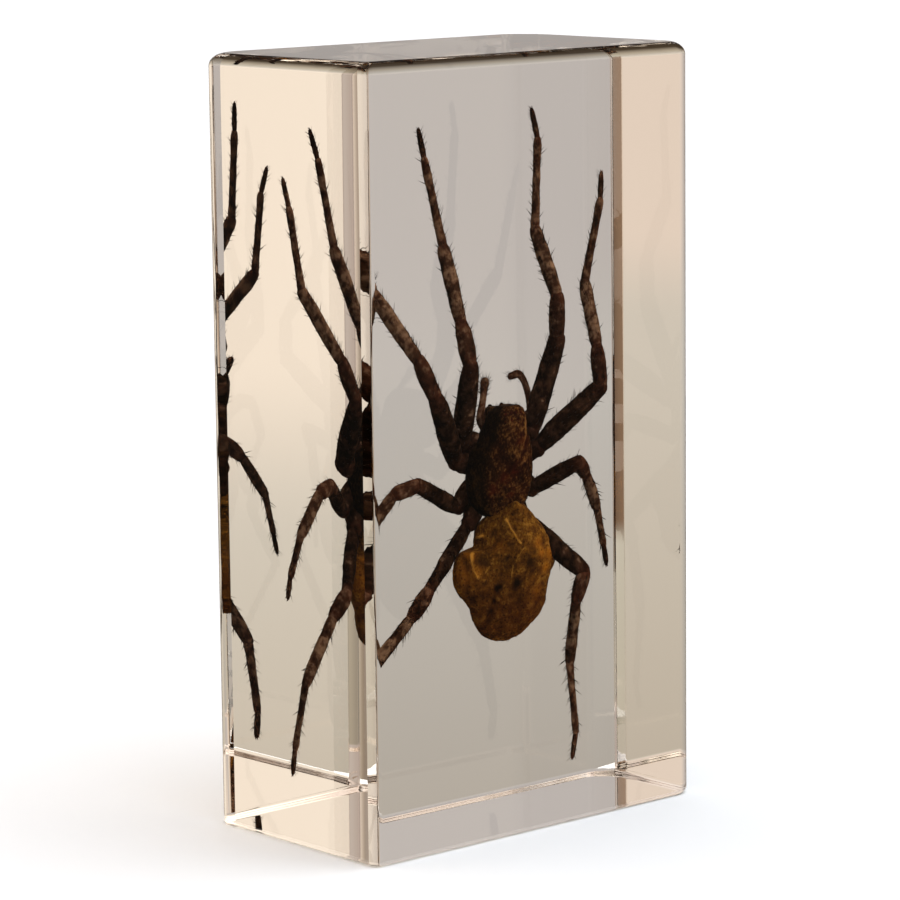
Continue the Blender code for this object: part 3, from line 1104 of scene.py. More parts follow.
@dataclass(frozen=True)
class Leg:
    """One leg, segment by segment.

    headings turn clockwise from straight up, as the front shows them, and lifts rise
    towards the front face, both in degrees.
    """

    pair: int
    side: Side
    headings: tuple[float, ...]
    lifts: tuple[float, ...]
    moves: tuple[Move, ...] = ()
    thigh: float = 1.0  # the femur's thickness as a share of the pair's
    sides: int = 16
    ring_spacing: float = 0.3  # mm
    fewest_rings: int = 6
    knee: tuple[float, float] = (0.9, 0.7)  # mm past a segment's start and before its end
    knee_warmth: float = 0.25
    furrow: float = 0.12  # depth of the shrink furrows, as a share of the radius
    furrow_waves: tuple[float, float] = (1.6, 0.45)  # to each radius round and along the leg
    dent: float = 0.4  # depth of the dents between them, as a share of the furrows'
    dent_waves: tuple[float, float] = (3.5, 2.4)
    # Painted shade of the furrows: the ridges between them paler, the furrows darker.
    furrow_shading: float = 0.16  # how much paler the ridges between them are
    down: int = 90  # short hairs to 10 mm of a segment that is 1 mm thick
    bristles: int = 60  # to 10 mm
    # The claws' points: mm ahead of the tip, aside and behind, and the radius.
    claw: Rows = ((0.0, 0.07, 0.0, 0.06), (0.224, 0.11, 0.0, 0.045), (0.304, 0.11, 0.128, 0.015))

    @property
    def name(self) -> str:
        """The leg's name."""
        return f"leg_{self.pair}_{self.side.name.lower()}"

    def joints(self) -> list[Vector]:
        """Walks down the leg.

        Returns:
            The places of the hip, the five joints and the tip, in millimetres.
        """
        pair = LEG_PAIRS[self.pair]
        reach, depth, height = pair.socket
        joints = [Vector((axis_x(height) + self.side.value * reach, depth, height))]
        for length, heading, lift in zip(pair.lengths, self.headings, self.lifts):
            turn, rise = radians(heading), radians(lift)
            direction = Vector((cos(rise) * sin(turn), -sin(rise), cos(rise) * cos(turn)))
            joints.append(joints[-1] + direction * length)
        for move in self.moves:
            joints[move.joint] += Vector((move.x, 0.0, move.z)) - LINE_OF_SIGHT * move.nearer
        return joints

    def stations(self, segment: Segment) -> list[Station]:
        """Spaces a segment's rings.

        Args:
            segment: Which segment.

        Returns:
            Its stations, domed past both joints.
        """
        pair = LEG_PAIRS[self.pair]
        start, end = self.joints()[segment.order : segment.order + 2]
        radius = pair.radii[segment.order] * (self.thigh if segment is Segment.FEMUR else 1.0)
        run = end - start
        along = run.normalized()
        across = along.cross(Y_AXIS).normalized()
        outward = along.cross(across)
        before = sum(pair.lengths[: segment.order])
        count = max(int(run.length / self.ring_spacing), self.fewest_rings)
        rings = []
        for number in range(count + 1):
            share = number / count
            thick = radius * smooth_reading(segment.swelling, share) * MM
            matrix = stand((start + run * share) * MM, across, outward, along, thick, thick)
            knee = max(bell(share * run.length, self.knee[0]), bell((1 - share) * run.length, self.knee[1]))
            warmth = min(segment.warmth + self.knee_warmth * knee, 1.0)
            rings.append(Station(matrix, (before + run.length * share) * MM, thick, warmth))
        return [*dome(rings[0], -1), *rings, *dome(rings[-1], 1)]

    def skin(self, segment: Segment) -> BMesh:
        """Lofts one segment with its lengthwise shrink furrows, whose shade it paints.

        Args:
            segment: Which segment.

        Returns:
            The closed shell.
        """
        bm = loft(self.stations(segment), self.sides)
        place_layer = bm.verts.layers.float_vector[LIMB_PLACE]
        paleness_and_shade_layer = bm.verts.layers.float[RELIEF]
        radius = LEG_PAIRS[self.pair].radii[segment.order]
        # Each segment lies in a stretch of the waves of its own.
        own_waves = Vector((self.pair * 7.0, self.side.value * 3.0, segment.order * 5.0))
        for vert in bm.verts:
            x, y, z = Vector(vert[place_layer]) / (radius * MM)
            furrow, dent = [
                noise.noise(Vector((x * around, y * around, z * along)) + own_waves)
                for around, along in (self.furrow_waves, self.dent_waves)
            ]
            vert.co += vert.normal * (furrow + self.dent * dent) * self.furrow * radius * MM
            # The segment's own paleness, plus painted shade: ridges paler, furrows darker.
            vert[paleness_and_shade_layer] = segment.paleness + self.furrow_shading * (furrow + dent)
        bm.normal_update()
        return bm

    def claws(self) -> BMesh:
        """Lofts the two claws at the tip.

        Returns:
            Both claws in one bmesh.
        """
        before, tip = self.joints()[-2:]
        along = (tip - before).normalized()
        across = along.cross(Y_AXIS).normalized()
        shells = []
        for sign in (-1, 1):
            points = [
                (*(tip + along * ahead + across * aside * sign + Y_AXIS * behind), radius)
                for ahead, aside, behind, radius in self.claw
            ]
            shells.append(loft(limb_curve(points, spacing=0.07), sides=6))
        return joined(shells)

    def coat(self) -> HairCoat:
        """Grows the leg's hairs.

        Returns:
            The coat.
        """
        coat = HairCoat(seed=self.pair * 10 + self.side.value)
        pair = LEG_PAIRS[self.pair]
        inner = -X_AXIS * self.side.value  # the way that the bristles mostly face
        for segment in Segment:
            run = self.stations(segment)[len(DOME_ANGLES) : -len(DOME_ANGLES)]
            length, radius = pair.lengths[segment.order], pair.radii[segment.order]
            down = int(self.down * length / 10 * (0.5 + radius))
            coat.cover_run(run, down, Hair.DOWN)
            if segment is not Segment.COXA:
                coat.cover_run(run, int(self.bristles * length / 10), Hair.BRISTLE, inner)
            coat.cover_run(run, segment.spines, Hair.SPINE)
        return coat

    def build(self, finishes: SpiderFinishes) -> None:
        """Makes the leg's skin, claws and hairs.

        Args:
            finishes: The spider's finishes.
        """
        dress_spider(self.name, joined([self.skin(segment) for segment in Segment]), finishes.limb)
        dress_spider(self.name + "_claws", self.claws(), finishes.hard)
        dress_spider(self.name + "_hair", self.coat().bm, finishes.bristle)


LEGS = (
    Leg(1, Side.LEFT, (-81, -11, -2, -4, -11, -4), (14, 33, -27, -26, -8, -20), (Move(1, -0.25),)),
    Leg(1, Side.RIGHT, (64, 12, -8, -4, 4, -11), (36, 18, 17, -37, -2, -8)),
    Leg(2, Side.LEFT, (-78, -35, -23, -31, -12, -6), (5, 32, -15, -24, -5, -14)),
    Leg(
        2, Side.RIGHT, (74, 47, -15, 11, 15, 11), (18, 30, 17, -42, 1, -14),
        (Move(1, nearer=0.3), Move(2, nearer=1.2), Move(3, nearer=0.4)),
    ),
    Leg(
        3, Side.LEFT, (-124, -68, -105, -156, -162, -170), (-3, 18, -8, -18, -14, -6),
        (Move(1, 0.25, -0.7), Move(3, -0.2, 0.1, 0.5), Move(4, -1.6, 0.4, 1.2), Move(5, -0.4, 0.0, 0.3)),
    ),
    Leg(3, Side.RIGHT, (123, 58, 134, 146, 164, 166), (-2, 46, -33, -25, -7, -7)),
    Leg(
        4, Side.LEFT, (-163, -126, -142, -141, 175, -177), (17, 19, -22, -10, -17, -8),
        (Move(1, -0.75, 0.35), Move(2, -0.3), Move(4, -1.5, -0.1, 1.1)), thigh=0.76,
    ),
    Leg(
        4, Side.RIGHT, (145, 136, -148, 171, 173, -171), (15, 22, 17, -31, -2, -5),
        (Move(1, -0.5, -0.3, 0.2), Move(2, nearer=1.2), Move(3, nearer=0.4)),
    ),
)


# Head and breast ----------------------------------------------------------------------


# Height, left edge, right edge, front and back of each slice, in mm.
CARAPACE_SLICES = (
    (28.9, -0.1, 2.2, -0.6, 1.5),
    (29.6, -1.7, 3.6, -1.5, 2.1),
    (31.0, -2.7, 4.5, -2.2, 2.6),
    (33.0, -3.05, 4.85, -2.6, 2.9),
    (35.0, -2.7, 4.75, -2.8, 2.9),
    (36.6, -1.6, 4.3, -2.8, 2.7),
    (38.0, -0.75, 3.85, -2.7, 2.2),
    (39.0, -0.35, 3.6, -2.3, 1.4),
    (39.5, 0.4, 2.9, -1.6, 0.5),
)
CHELICERA_SLICES = (
    (37.3, 0.1, 1.4, -1.3, 1.6),
    (38.2, -0.3, 1.58, -1.9, 2.7),
    (39.0, -0.25, 1.56, -1.8, 2.9),
    (39.4, 0.15, 1.3, -1.2, 2.3),
)
PEDICEL_SLICES = ((28.4, 0.5, 1.7, 0.2, 1.4), (29.5, 0.45, 1.75, 0.1, 1.5), (30.6, 0.5, 1.7, 0.2, 1.4))


@dataclass(frozen=True)
class Prosoma:
    """The fused head and breast: shield, jaws, palps, eyes, breast plate and mouth parts."""

    head_middle: float = 1.62  # x about which the jaws and eyes mirror, in mm
    shield: BodyShape = BodyShape.from_slices(CARAPACE_SLICES, sides=72, rings=72, squareness=2.3)
    jaw: BodyShape = BodyShape.from_slices(CHELICERA_SLICES, sides=28, rings=20)
    stalk: BodyShape = BodyShape.from_slices(PEDICEL_SLICES, sides=20, rings=12)
    left_palp: Rows = (
        (0.1, 1.6, 37.2, 0.6), (-0.85, 1.2, 38.5, 0.5), (-0.25, 1.8, 40.1, 0.38), (0.5, 2.8, 41.7, 0.5),
    )
    right_palp: Rows = (
        (3.9, 1.6, 37.2, 0.6), (5.55, 1.2, 38.6, 0.5), (5.3, 1.5, 40.2, 0.36),
        (4.95, 1.8, 41.4, 0.36), (4.25, 2.0, 42.1, 0.4), (3.35, 2.1, 41.95, 0.34),
    )
    left_fang: Rows = ((0.9, 2.3, 39.3, 0.28), (0.75, 2.95, 38.6, 0.24), (1.2, 3.2, 37.9, 0.08))
    eyes: Rows = (  # sideways from the middle, depth, height, radius
        (0.3, -2.35, 38.95, 0.2), (0.95, -2.2, 38.85, 0.16),
        (0.4, -2.62, 38.3, 0.17), (1.15, -2.5, 38.1, 0.15),
    )
    plates: Rows = (  # x, height, half width, half height and depth: breast plate, lip, two lobes
        (axis_x(33.4), 33.4, 1.5, 2.35, 2.35), (axis_x(36.5), 36.3, 0.5, 0.5, 2.3),
        (axis_x(37.0) - 0.95, 36.9, 0.5, 0.85, 2.0), (axis_x(37.0) + 0.95, 36.9, 0.5, 0.85, 2.0),
    )
    # A plate's share of its size by its rise in mm.
    plate_dome: Curve = ((0.0, 1.0), (0.45, 1.0), (0.6, 0.93), (0.7, 0.75), (0.75, 0.4))
    # On both sides of the axis: the head's groove, the pit and the rays that run from it.
    grooves: tuple[Fold, ...] = (
        Fold(((2.6, 37.4), (1.5, 35.2), (0.25, 33.8)), -0.8, 0.3),
        Fold(((0.0, 32.9), (0.0, 33.9)), -1.0, 0.25),
        Fold(((0.5, 33.4), (3.4, 34.6)), -0.4, 0.22),
        Fold(((0.5, 33.4), (3.6, 32.6)), -0.4, 0.22),
        Fold(((0.5, 33.4), (2.9, 30.9)), -0.4, 0.22),
    )
    pale_rims: tuple[Fold, ...] = (
        Fold(((3.15, 38.2), (3.0, 36.6), (2.3, 35.0), (1.85, 34.0)), 1.2, 0.14),
        Fold(((-2.75, 33.9), (-2.6, 31.8), (-1.9, 30.4), (-0.6, 29.4)), 0.9, 0.16),
    )
    rusty_spots: tuple[Mark, ...] = (
        Mark(1.7, 33.5, 0.6, 1.0), Mark(1.2, 31.4, 0.6, 1.0), Mark(-1.0, 31.9, 0.6, 1.0),
        Mark(2.6, 36.2, 0.6, 1.0), Mark(0.3, 32.7, 0.6, 1.0),
    )
    bare_warmth: float = 0.2
    spot_warmth: float = 1.1
    spot_evenness: float = 0.6
    spot_waves: float = 3.5  # per mm, which break the spots up
    # Painted shade on the flanks, where the shield turns away from the light: the share of
    # the width where each begins, and that over which it fades.
    shaded_flanks: Curve = ((0.22, 0.12), (0.93, 0.05))
    darkest_flank_shade: float = 0.85
    grain: Curve = ((0.25, 1.3), (0.4, 3.1), (0.6, 6.0))  # heights, and waves per mm
    relief_height: float = 0.11 * MM
    front_gain: float = 1.6  # how soon the relief is full where the skin turns to the front
    shield_seed: int = 71
    jaw_seed: int = 72
    palp_seed: int = 73
    shield_hairs: tuple[tuple[Hair, int], ...] = ((Hair.DOWN, 620), (Hair.BRISTLE, 40))
    jaw_hairs: tuple[tuple[Hair, int], ...] = ((Hair.DOWN, 160),)
    palp_hairs: int = 150
    brush_hairs: tuple[int, int] = (90, 30)  # at the end of the left palp and of the right one

    def shield_relief(self, place: Vector, normal: Vector) -> tuple[float, float, float]:
        """Shapes the shield: the head's two grooves, the pit, the rays and the rim.

        Args:
            place: A point of the skin in millimetres.
            normal: The skin's normal there.

        Returns:
            The relief's height, the painted shade of its flanks, carried as stain, and its warmth.
        """
        x, _, z = place
        upper = min(max(-normal.y * self.front_gain, 0.0), 1.0)
        aside = abs(x - axis_x(z))
        height = 0.0
        for groove in self.grooves:
            height += groove.reading(aside, z) * upper
        for rim in self.pale_rims:
            height += rim.reading(x, z) * upper
        height += waves(place, self.grain)
        warmth = max(spot.reading(x, z) for spot in self.rusty_spots)
        warmth *= self.spot_evenness + noise.noise(place * self.spot_waves)
        left, right, _, _ = self.shield.edges(z)
        share = (x - left) / max(right - left, 0.1)
        (left_end, left_fade), (right_end, right_fade) = self.shaded_flanks
        flank_shade = max((left_end - share) / left_fade, (share - right_end) / right_fade)
        stain = min(max(flank_shade, 0.0), self.darkest_flank_shade)
        return height, stain, min(self.bare_warmth + self.spot_warmth * warmth, 1.0)

    def mirrored(self, points: Rows) -> Rows:
        """The same points on the other side of the head's middle."""
        return tuple((2 * self.head_middle - x, *rest) for x, *rest in points)

    def build_shield(self, finishes: SpiderFinishes) -> None:
        """Makes the shield and its short hairs.

        Args:
            finishes: The spider's finishes.
        """
        skin = self.shield.build()
        sculpt(skin, self.shield_relief, self.relief_height)
        coat = HairCoat(self.shield_seed)
        coat.cover_skin(skin, self.shield_hairs, Z_AXIS)
        dress_haired("head_shield", skin, finishes.shield, coat, finishes.bristle)

    def build_jaws(self, finishes: SpiderFinishes) -> None:
        """Makes the two jaws with their fangs.

        Args:
            finishes: The spider's finishes.
        """
        left, right = self.jaw.build(), self.jaw.build()
        flip = Matrix.Translation((2 * self.head_middle * MM, 0, 0)) @ Matrix.Diagonal((-1, 1, 1, 1))
        bmesh.ops.transform(right, matrix=flip, verts=right.verts[:])
        bmesh.ops.recalc_face_normals(right, faces=right.faces[:])
        jaws = joined([left, right])
        coat = HairCoat(self.jaw_seed)
        coat.cover_skin(jaws, self.jaw_hairs, Z_AXIS)
        dress_haired("jaws", jaws, finishes.shield, coat, finishes.bristle)
        fangs = [
            loft(limb_curve(points, spacing=0.12), sides=12)
            for points in (self.left_fang, self.mirrored(self.left_fang))
        ]
        dress_spider("fangs", joined(fangs), finishes.hard)

    def build_eyes(self, finishes: SpiderFinishes) -> None:
        """Makes the eight eyes.

        Args:
            finishes: The spider's finishes.
        """
        bm = bmesh.new()
        for aside, depth, height, radius in self.eyes:
            for sign in (-1, 1):
                middle = Vector((self.head_middle + sign * aside, depth, height)) * MM
                bmesh.ops.create_icosphere(
                    bm, subdivisions=2, radius=radius * MM, matrix=Matrix.Translation(middle)
                )
        dress_spider("eyes", bm, finishes.hard)

    def build_palps(self, finishes: SpiderFinishes) -> None:
        """Makes the two feelers beside the jaws; the left one ends in a brush.

        Args:
            finishes: The spider's finishes.
        """
        palps = (self.left_palp, self.right_palp)
        for side, points, brush in zip(Side, palps, self.brush_hairs):
            stations = limb_curve(points, spacing=0.16, warmth=0.35)
            coat = HairCoat(self.palp_seed + brush)
            coat.cover_run(stations, self.palp_hairs, Hair.DOWN)
            coat.cover_run(stations[-len(stations) // 3 : -1], brush, Hair.BRUSH)
            name = f"palp_{side.name.lower()}"
            dress_haired(name, loft(stations, sides=16), finishes.limb, coat, finishes.bristle)

    def build_underside(self, finishes: SpiderFinishes) -> None:
        """Makes the breast plate, the lip and the two mouth lobes, and the waist.

        Args:
            finishes: The spider's finishes.
        """
        plates = []
        for x, z, width, height, depth in self.plates:
            rings = []
            for rise, share in self.plate_dome:
                middle = Vector((x, depth + rise, z)) * MM
                matrix = stand(middle, X_AXIS, -Z_AXIS, Y_AXIS, width * share * MM, height * share * MM)
                rings.append(Station(matrix, rise * MM, width * MM, warmth=0.4))
            plates.append(loft(rings, sides=28, squareness=2.2))
        dress_spider("breast_plate", joined(plates), finishes.shield)
        dress_spider("waist", self.stalk.build(), finishes.limb)

    def build(self, finishes: SpiderFinishes) -> None:
        """Makes every piece of the head and breast.

        Args:
            finishes: The spider's finishes.
        """
        self.build_shield(finishes)
        self.build_jaws(finishes)
        self.build_eyes(finishes)
        self.build_palps(finishes)
        self.build_underside(finishes)


# Abdomen ------------------------------------------------------------------------------


@dataclass(frozen=True)
class Abdomen:
    """The shrunken abdomen with its crests, furrows and pits, and the spinnerets."""

    shape: BodyShape = BodyShape(
        left=(
            (16.9, 1.3), (17.2, -0.1), (18.1, -1.5), (19.3, -2.4), (20.7, -3.1), (22.4, -4.7), (23.5, -5.25),
            (24.4, -5.2), (25.5, -4.9), (25.9, -4.6), (26.1, -4.1), (26.35, -2.5), (26.7, -2.3), (27.4, -2.2),
            (28.1, -2.0), (29.0, -1.2), (29.7, 0.1), (30.3, 1.0), (30.5, 1.4),
        ),
        right=(
            (16.9, 2.5), (17.2, 3.5), (17.8, 4.5), (19.1, 6.05), (20.2, 6.6), (21.6, 6.7), (23.0, 7.0),
            (23.7, 7.55), (24.8, 7.85), (25.9, 7.5), (26.9, 6.9), (28.3, 5.4), (29.2, 4.4), (29.8, 3.6),
            (30.3, 2.5), (30.5, 2.0),
        ),
        front=(
            (16.9, 0.5), (17.2, 0.0), (18.1, -0.8), (19.3, -1.6), (20.9, -2.3), (22.4, -2.8), (23.6, -3.0),
            (25.0, -3.1), (26.2, -3.0), (26.9, -2.9), (27.9, -2.7), (28.9, -2.6), (29.8, -2.6), (30.5, -2.4),
        ),
        back=(
            (16.9, 1.6), (17.2, 2.1), (18.1, 2.4), (19.3, 2.5), (20.9, 2.4), (22.4, 2.2), (23.6, 2.2),
            (25.0, 2.5), (26.2, 2.9), (26.9, 3.2), (27.9, 3.2), (28.9, 2.2), (29.8, 0.8), (30.5, -1.9),
        ),
        foot=16.9, top=30.5, sides=200, rings=140, squareness=1.9,
    )
    folds: tuple[Fold, ...] = (
        Fold(((0.5, 28.9), (0.9, 28.3), (1.3, 27.7), (1.6, 26.9), (2.0, 26.4)), 1.25, 0.11),
        Fold(((-1.9, 27.6), (-2.5, 27.1), (-3.2, 26.5), (-3.6, 25.8), (-3.5, 24.7), (-3.1, 23.8)), 1.1, 0.12),
        Fold(((-3.5, 26.2), (-3.45, 25.7)), 0.6, 0.2),
        Fold(((-1.35, 25.4), (-1.7, 24.8), (-2.25, 24.1)), 0.8, 0.1),
        Fold(((2.3, 25.9), (1.45, 25.3), (1.3, 24.8), (0.8, 24.1), (0.65, 23.3)), 0.8, 0.12),
        Fold(((-2.9, 24.6), (-2.5, 23.6)), 0.5, 0.12),
        Fold(((-3.2, 23.7), (-2.5, 23.5), (-1.3, 23.6)), 0.55, 0.18),
        Fold(((-4.1, 26.0), (-4.2, 24.6), (-4.1, 22.6), (-3.2, 21.2)), -0.6, 0.2),
        Fold(((2.6, 26.8), (3.3, 25.6), (3.1, 24.4)), -0.4, 0.4),
        Fold(((4.0, 27.9), (5.2, 26.9), (6.2, 25.6)), 0.3, 0.3),
        Fold(((-1.0, 21.9), (-1.1, 20.4), (-1.3, 18.8)), -0.6, 0.25),
        Fold(((6.4, 22.9), (4.8, 22.6), (3.3, 21.6)), 0.3, 0.25),
    )
    pits: tuple[Mark, ...] = (
        Mark(-0.85, 22.5, 0.36, 1.4), Mark(-0.5, 22.62, 0.3, 1.3), Mark(1.66, 22.65, 0.55, 1.3),
        Mark(0.42, 25.35, 0.24, 1.0), Mark(1.17, 24.48, 0.18, 0.8), Mark(-2.4, 25.6, 1.0, 0.62),
        Mark(0.5, 24.7, 1.0, 0.4), Mark(3.2, 24.3, 0.8, 0.5), Mark(-1.0, 21.2, 0.3, 0.8),
        Mark(-1.1, 20.2, 0.3, 0.75), Mark(-1.2, 19.2, 0.3, 0.6), Mark(2.2, 21.2, 0.6, 0.45),
        Mark(-0.4, 27.0, 0.6, 0.35),
    )
    # Painted light: the glow where light gets through the thin skin, and how much.
    glow_places: tuple[Mark, ...] = (  # where light gets through, with how much
        Mark(4.5, 26.2, 0.5, 0.8), Mark(5.0, 25.2, 0.45, 0.9), Mark(6.2, 24.9, 0.6, 1.0),
        Mark(5.6, 23.7, 0.5, 0.8), Mark(-4.9, 24.3, 1.3, 0.35), Mark(-3.6, 26.0, 0.5, 0.9),
        Mark(-3.2, 24.3, 0.6, 0.5), Mark(-0.3, 26.6, 0.6, 0.3), Mark(4.5, 21.6, 0.6, 0.4),
    )
    front_gain: float = 1.5  # how soon the folds are full where the skin turns to the front
    front_start: float = 0.2  # and how full where it faces sideways
    wander: float = 0.3  # mm that the folds' lines stray
    wander_waves: float = 0.8  # per mm
    pit_depth: float = 0.5
    # The one furrow of the underside: x and height of its middle, how it bows, its width and
    # length in mm, its depth and its stain.
    under_middle: tuple[float, float] = (1.8, 27.3)
    under_bow: float = 0.08
    under_size: tuple[float, float] = (0.22, 3.2)
    under_depth: float = 0.9
    under_stain: float = 0.5
    swells: Curve = ((0.35, 0.75), (0.3, 1.7))  # heights, and waves per mm
    wrinkle: float = 0.2
    wrinkle_waves: tuple[float, float] = (3.4, 2.4)  # per mm across and up
    seed: int = 74
    hairs: tuple[tuple[Hair, int], ...] = ((Hair.DOWN, 420),)
    spinnerets: Curve = ((1.4, 1.9), (2.3, 1.8), (1.85, 2.5))  # x and depth
    # A spinneret's points: how far behind that depth, the height and the radius.
    spinneret_run: Rows = ((-0.4, 18.2, 0.3), (0.0, 17.6, 0.27), (0.2, 17.2, 0.15))
    relief_height: float = 0.2 * MM

    def relief(self, place: Vector, normal: Vector) -> tuple[float, float, float]:
        """Shapes the skin: crests and pits above, fine wrinkles all round.

        Args:
            place: A point of the skin in millimetres.
            normal: The skin's normal there.

        Returns:
            The relief's height, its stain and the share of painted glow, carried as warmth.
        """
        x, y, z = place
        height = stain = thin = 0.0
        upper = min(max(-normal.y * self.front_gain + self.front_start, 0.0), 1.0)
        if upper > 0:
            waved = place * self.wander_waves
            astray, lifted = noise.noise(waved), noise.noise(waved + ELSEWHERE)
            for fold in self.folds:
                height += fold.reading(x + astray * self.wander, z + lifted * self.wander) * upper
            for pit in self.pits:
                mark = pit.reading(x, z) * upper
                height -= self.pit_depth * mark
                stain = max(stain, mark)
            thin = max(spot.reading(x, z) for spot in self.glow_places)
        else:
            off = x - self.under_middle[0]
            away = z - self.under_middle[1] - self.under_bow * off**2
            furrow = bell(away, self.under_size[0]) * bell(off, self.under_size[1])
            height -= self.under_depth * furrow
            stain = self.under_stain * furrow
        across, up = self.wrinkle_waves
        height += waves(place, self.swells)
        height += self.wrinkle * noise.noise(Vector((x * across, y * across, z * up)))
        return height, stain, thin

    def build(self, finishes: SpiderFinishes) -> None:
        """Makes the skin, its hairs and the spinnerets.

        Args:
            finishes: The spider's finishes.
        """
        skin = self.shape.build()
        sculpt(skin, self.relief, self.relief_height)
        coat = HairCoat(self.seed)
        coat.cover_skin(skin, self.hairs, -Z_AXIS)
        dress_haired("abdomen", skin, finishes.skin, coat, finishes.bristle)
        shells = []
        for x, depth in self.spinnerets:
            points = [(x, depth + behind, height, radius) for behind, height, radius in self.spinneret_run]
            shells.append(loft(limb_curve(points, spacing=0.12, warmth=0.2), sides=12))
        dress_spider("spinnerets", joined(shells), finishes.limb)


# The block ----------------------------------------------------------------------------


@dataclass(frozen=True)
class Corner:
    """One upright corner of the block, as arcs that start on the side face.

    Each arc is a radius and the degrees that it turns, below 0 for a slight lip. A radius
    of 0 is a crease. A last arc, as large as fits, turns the rest of the quarter.
    """

    side: int  # -1 at the left, 1 at the right
    plane: float  # y of the front or back face that the corner ends on
    reach: float  # how far before that face the corner starts
    arcs: Curve = ()


@dataclass(frozen=True)
class ResinBlock:
    """The one clear block round the spider, with its buffed edges."""

    half_width: float = 20.5 * MM
    half_depth: float = 12 * MM
    height: float = 73 * MM
    # Front left, front right, back right and back left.
    corners: tuple[Corner, ...] = (
        Corner(-1, -12 * MM, 1.09 * MM, ((0.0, 15.0), (8.3 * MM, 6.5), (0.25 * MM, 54.5))),
        Corner(1, -12 * MM, 2.1 * MM),
        Corner(1, 12 * MM, 5.1 * MM, ((0.0, 5.1), (90 * MM, 1.5), (0.25 * MM, 26.4), (30 * MM, 5.0))),
        Corner(-1, 12 * MM, 3.51 * MM, ((0.0, -11.8), (12.5 * MM, 5.9), (0.25 * MM, 35.9))),
    )
    arc_step: float = 4.0  # most degrees between an arc's facets
    fewest_steps: int = 3
    top_edge: float = 1.2 * MM
    bottom_edge: float = 0.5 * MM
    end_steps: int = 20
    crease_angle: float = 4.8  # degrees; only the creases are sharper

    def drawn(self, bm: BMesh, corner: Corner) -> tuple[BMVert, BMVert]:
        """Draws one corner of the outline by spinning its end point round the arcs.

        Args:
            bm: Holds the outline.
            corner: Which corner.

        Returns:
            The corner's first point, on the side face, and its last.
        """
        way = 1 if corner.side * corner.plane > 0 else -1
        inward = -1 if corner.plane > 0 else 1
        start = (corner.side * self.half_width, corner.plane + inward * corner.reach, 0.0)
        first = point = bm.verts.new(start)
        done = 0.0
        for radius, turn in corner.arcs:
            if radius:
                point = self.spun(bm, point, corner.side, radius, way * done, way * turn)
            done += turn
        fitting = abs(corner.plane - point.co.y) / (1 - sin(radians(done)))
        return first, self.spun(bm, point, corner.side, fitting, way * done, way * (90 - done))

    def spun(
        self,
        bm: BMesh,
        point: BMVert,
        side: int,
        radius: float,
        start: float,
        turn: float,
    ) -> BMVert:
        """Adds one arc to the outline.

        Args:
            bm: Holds the outline.
            point: Where the arc starts.
            side: The side face that the angles count from.
            radius: The arc's radius.
            start: The angle of the outline's normal at its start, in degrees.
            turn: The degrees to turn.

        Returns:
            The arc's last point.
        """
        outward = Vector((side * cos(radians(start)), side * sin(radians(start)), 0.0))
        steps = max(self.fewest_steps, ceil(abs(turn) / self.arc_step))
        arc = bmesh.ops.spin(
            bm, geom=[point], cent=point.co - outward * radius, axis=Z_AXIS, angle=radians(turn),
            steps=steps, use_merge=False, use_duplicate=False,
        )
        return next(item for item in arc["geom_last"] if isinstance(item, BMVert))

    def grown(
        self,
        bm: BMesh,
        end: Sequence[BMFace],
        rise: float,
        shrink: tuple[float, float] = (1, 1),
    ) -> list[BMFace]:
        """Extrudes an end of the block.

        Args:
            bm: The block.
            end: Its end face.
            rise: How far up.
            shrink: How much narrower and shallower it gets.

        Returns:
            The new end face.
        """
        geometry = {item for face in end for item in (face, *face.edges, *face.verts)}
        fresh = bmesh.ops.extrude_face_region(bm, geom=list(geometry))["geom"]
        verts = [item for item in fresh if isinstance(item, BMVert)]
        bmesh.ops.scale(bm, vec=(*shrink, 1.0), verts=verts)
        bmesh.ops.translate(bm, vec=Z_AXIS * rise, verts=verts)
        return [item for item in fresh if isinstance(item, BMFace)]

    def shape(self) -> BMesh:
        """Draws the outline, raises it and rounds both ends.

        Returns:
            The block, with its creases marked sharp.
        """
        bm = bmesh.new()
        front_left, front_right, back_right, back_left = [self.drawn(bm, corner) for corner in self.corners]
        for (_, left), (_, right) in ((front_left, front_right), (back_left, back_right)):
            bm.edges.new((left, right))
        for (front, _), (back, _) in ((front_left, back_left), (front_right, back_right)):
            bm.edges.new((front, back))
        bottom = bmesh.ops.contextual_create(bm, geom=bm.edges[:])["faces"]
        bmesh.ops.translate(bm, vec=Z_AXIS * self.bottom_edge, verts=bm.verts[:])
        top = self.grown(bm, bottom, self.height - self.bottom_edge - self.top_edge)
        for end, way, radius in ((top, 1, self.top_edge), (bottom, -1, self.bottom_edge)):
            inset = rise = 0.0
            for step in range(1, self.end_steps + 1):
                angle = pi / 2 * step / self.end_steps
                further_in, further_up = radius * (1 - cos(angle)), radius * sin(angle)
                halves = (self.half_width, self.half_depth)
                shrink = tuple((half - further_in) / (half - inset) for half in halves)
                end = self.grown(bm, end, way * (further_up - rise), shrink)
                inset, rise = further_in, further_up
        bmesh.ops.recalc_face_normals(bm, faces=bm.faces[:])
        for edge in bm.edges:
            edge.smooth = edge.calc_face_angle() < radians(self.crease_angle)
        return bm

    def build(self) -> None:
        """Makes the block and gives it its resin."""
        obj = show_object("resin_block", self.shape(), CastResin().material())
        even = obj.modifiers.new("even_faces", "WEIGHTED_NORMAL")
        even.keep_sharp = True
        even.weight = 100
        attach(obj, BODY)
        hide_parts("block_front", "block_back")
        LOG.info("%s: %d faces", obj.name, len(obj.data.polygons))


# The studio ---------------------------------------------------------------------------


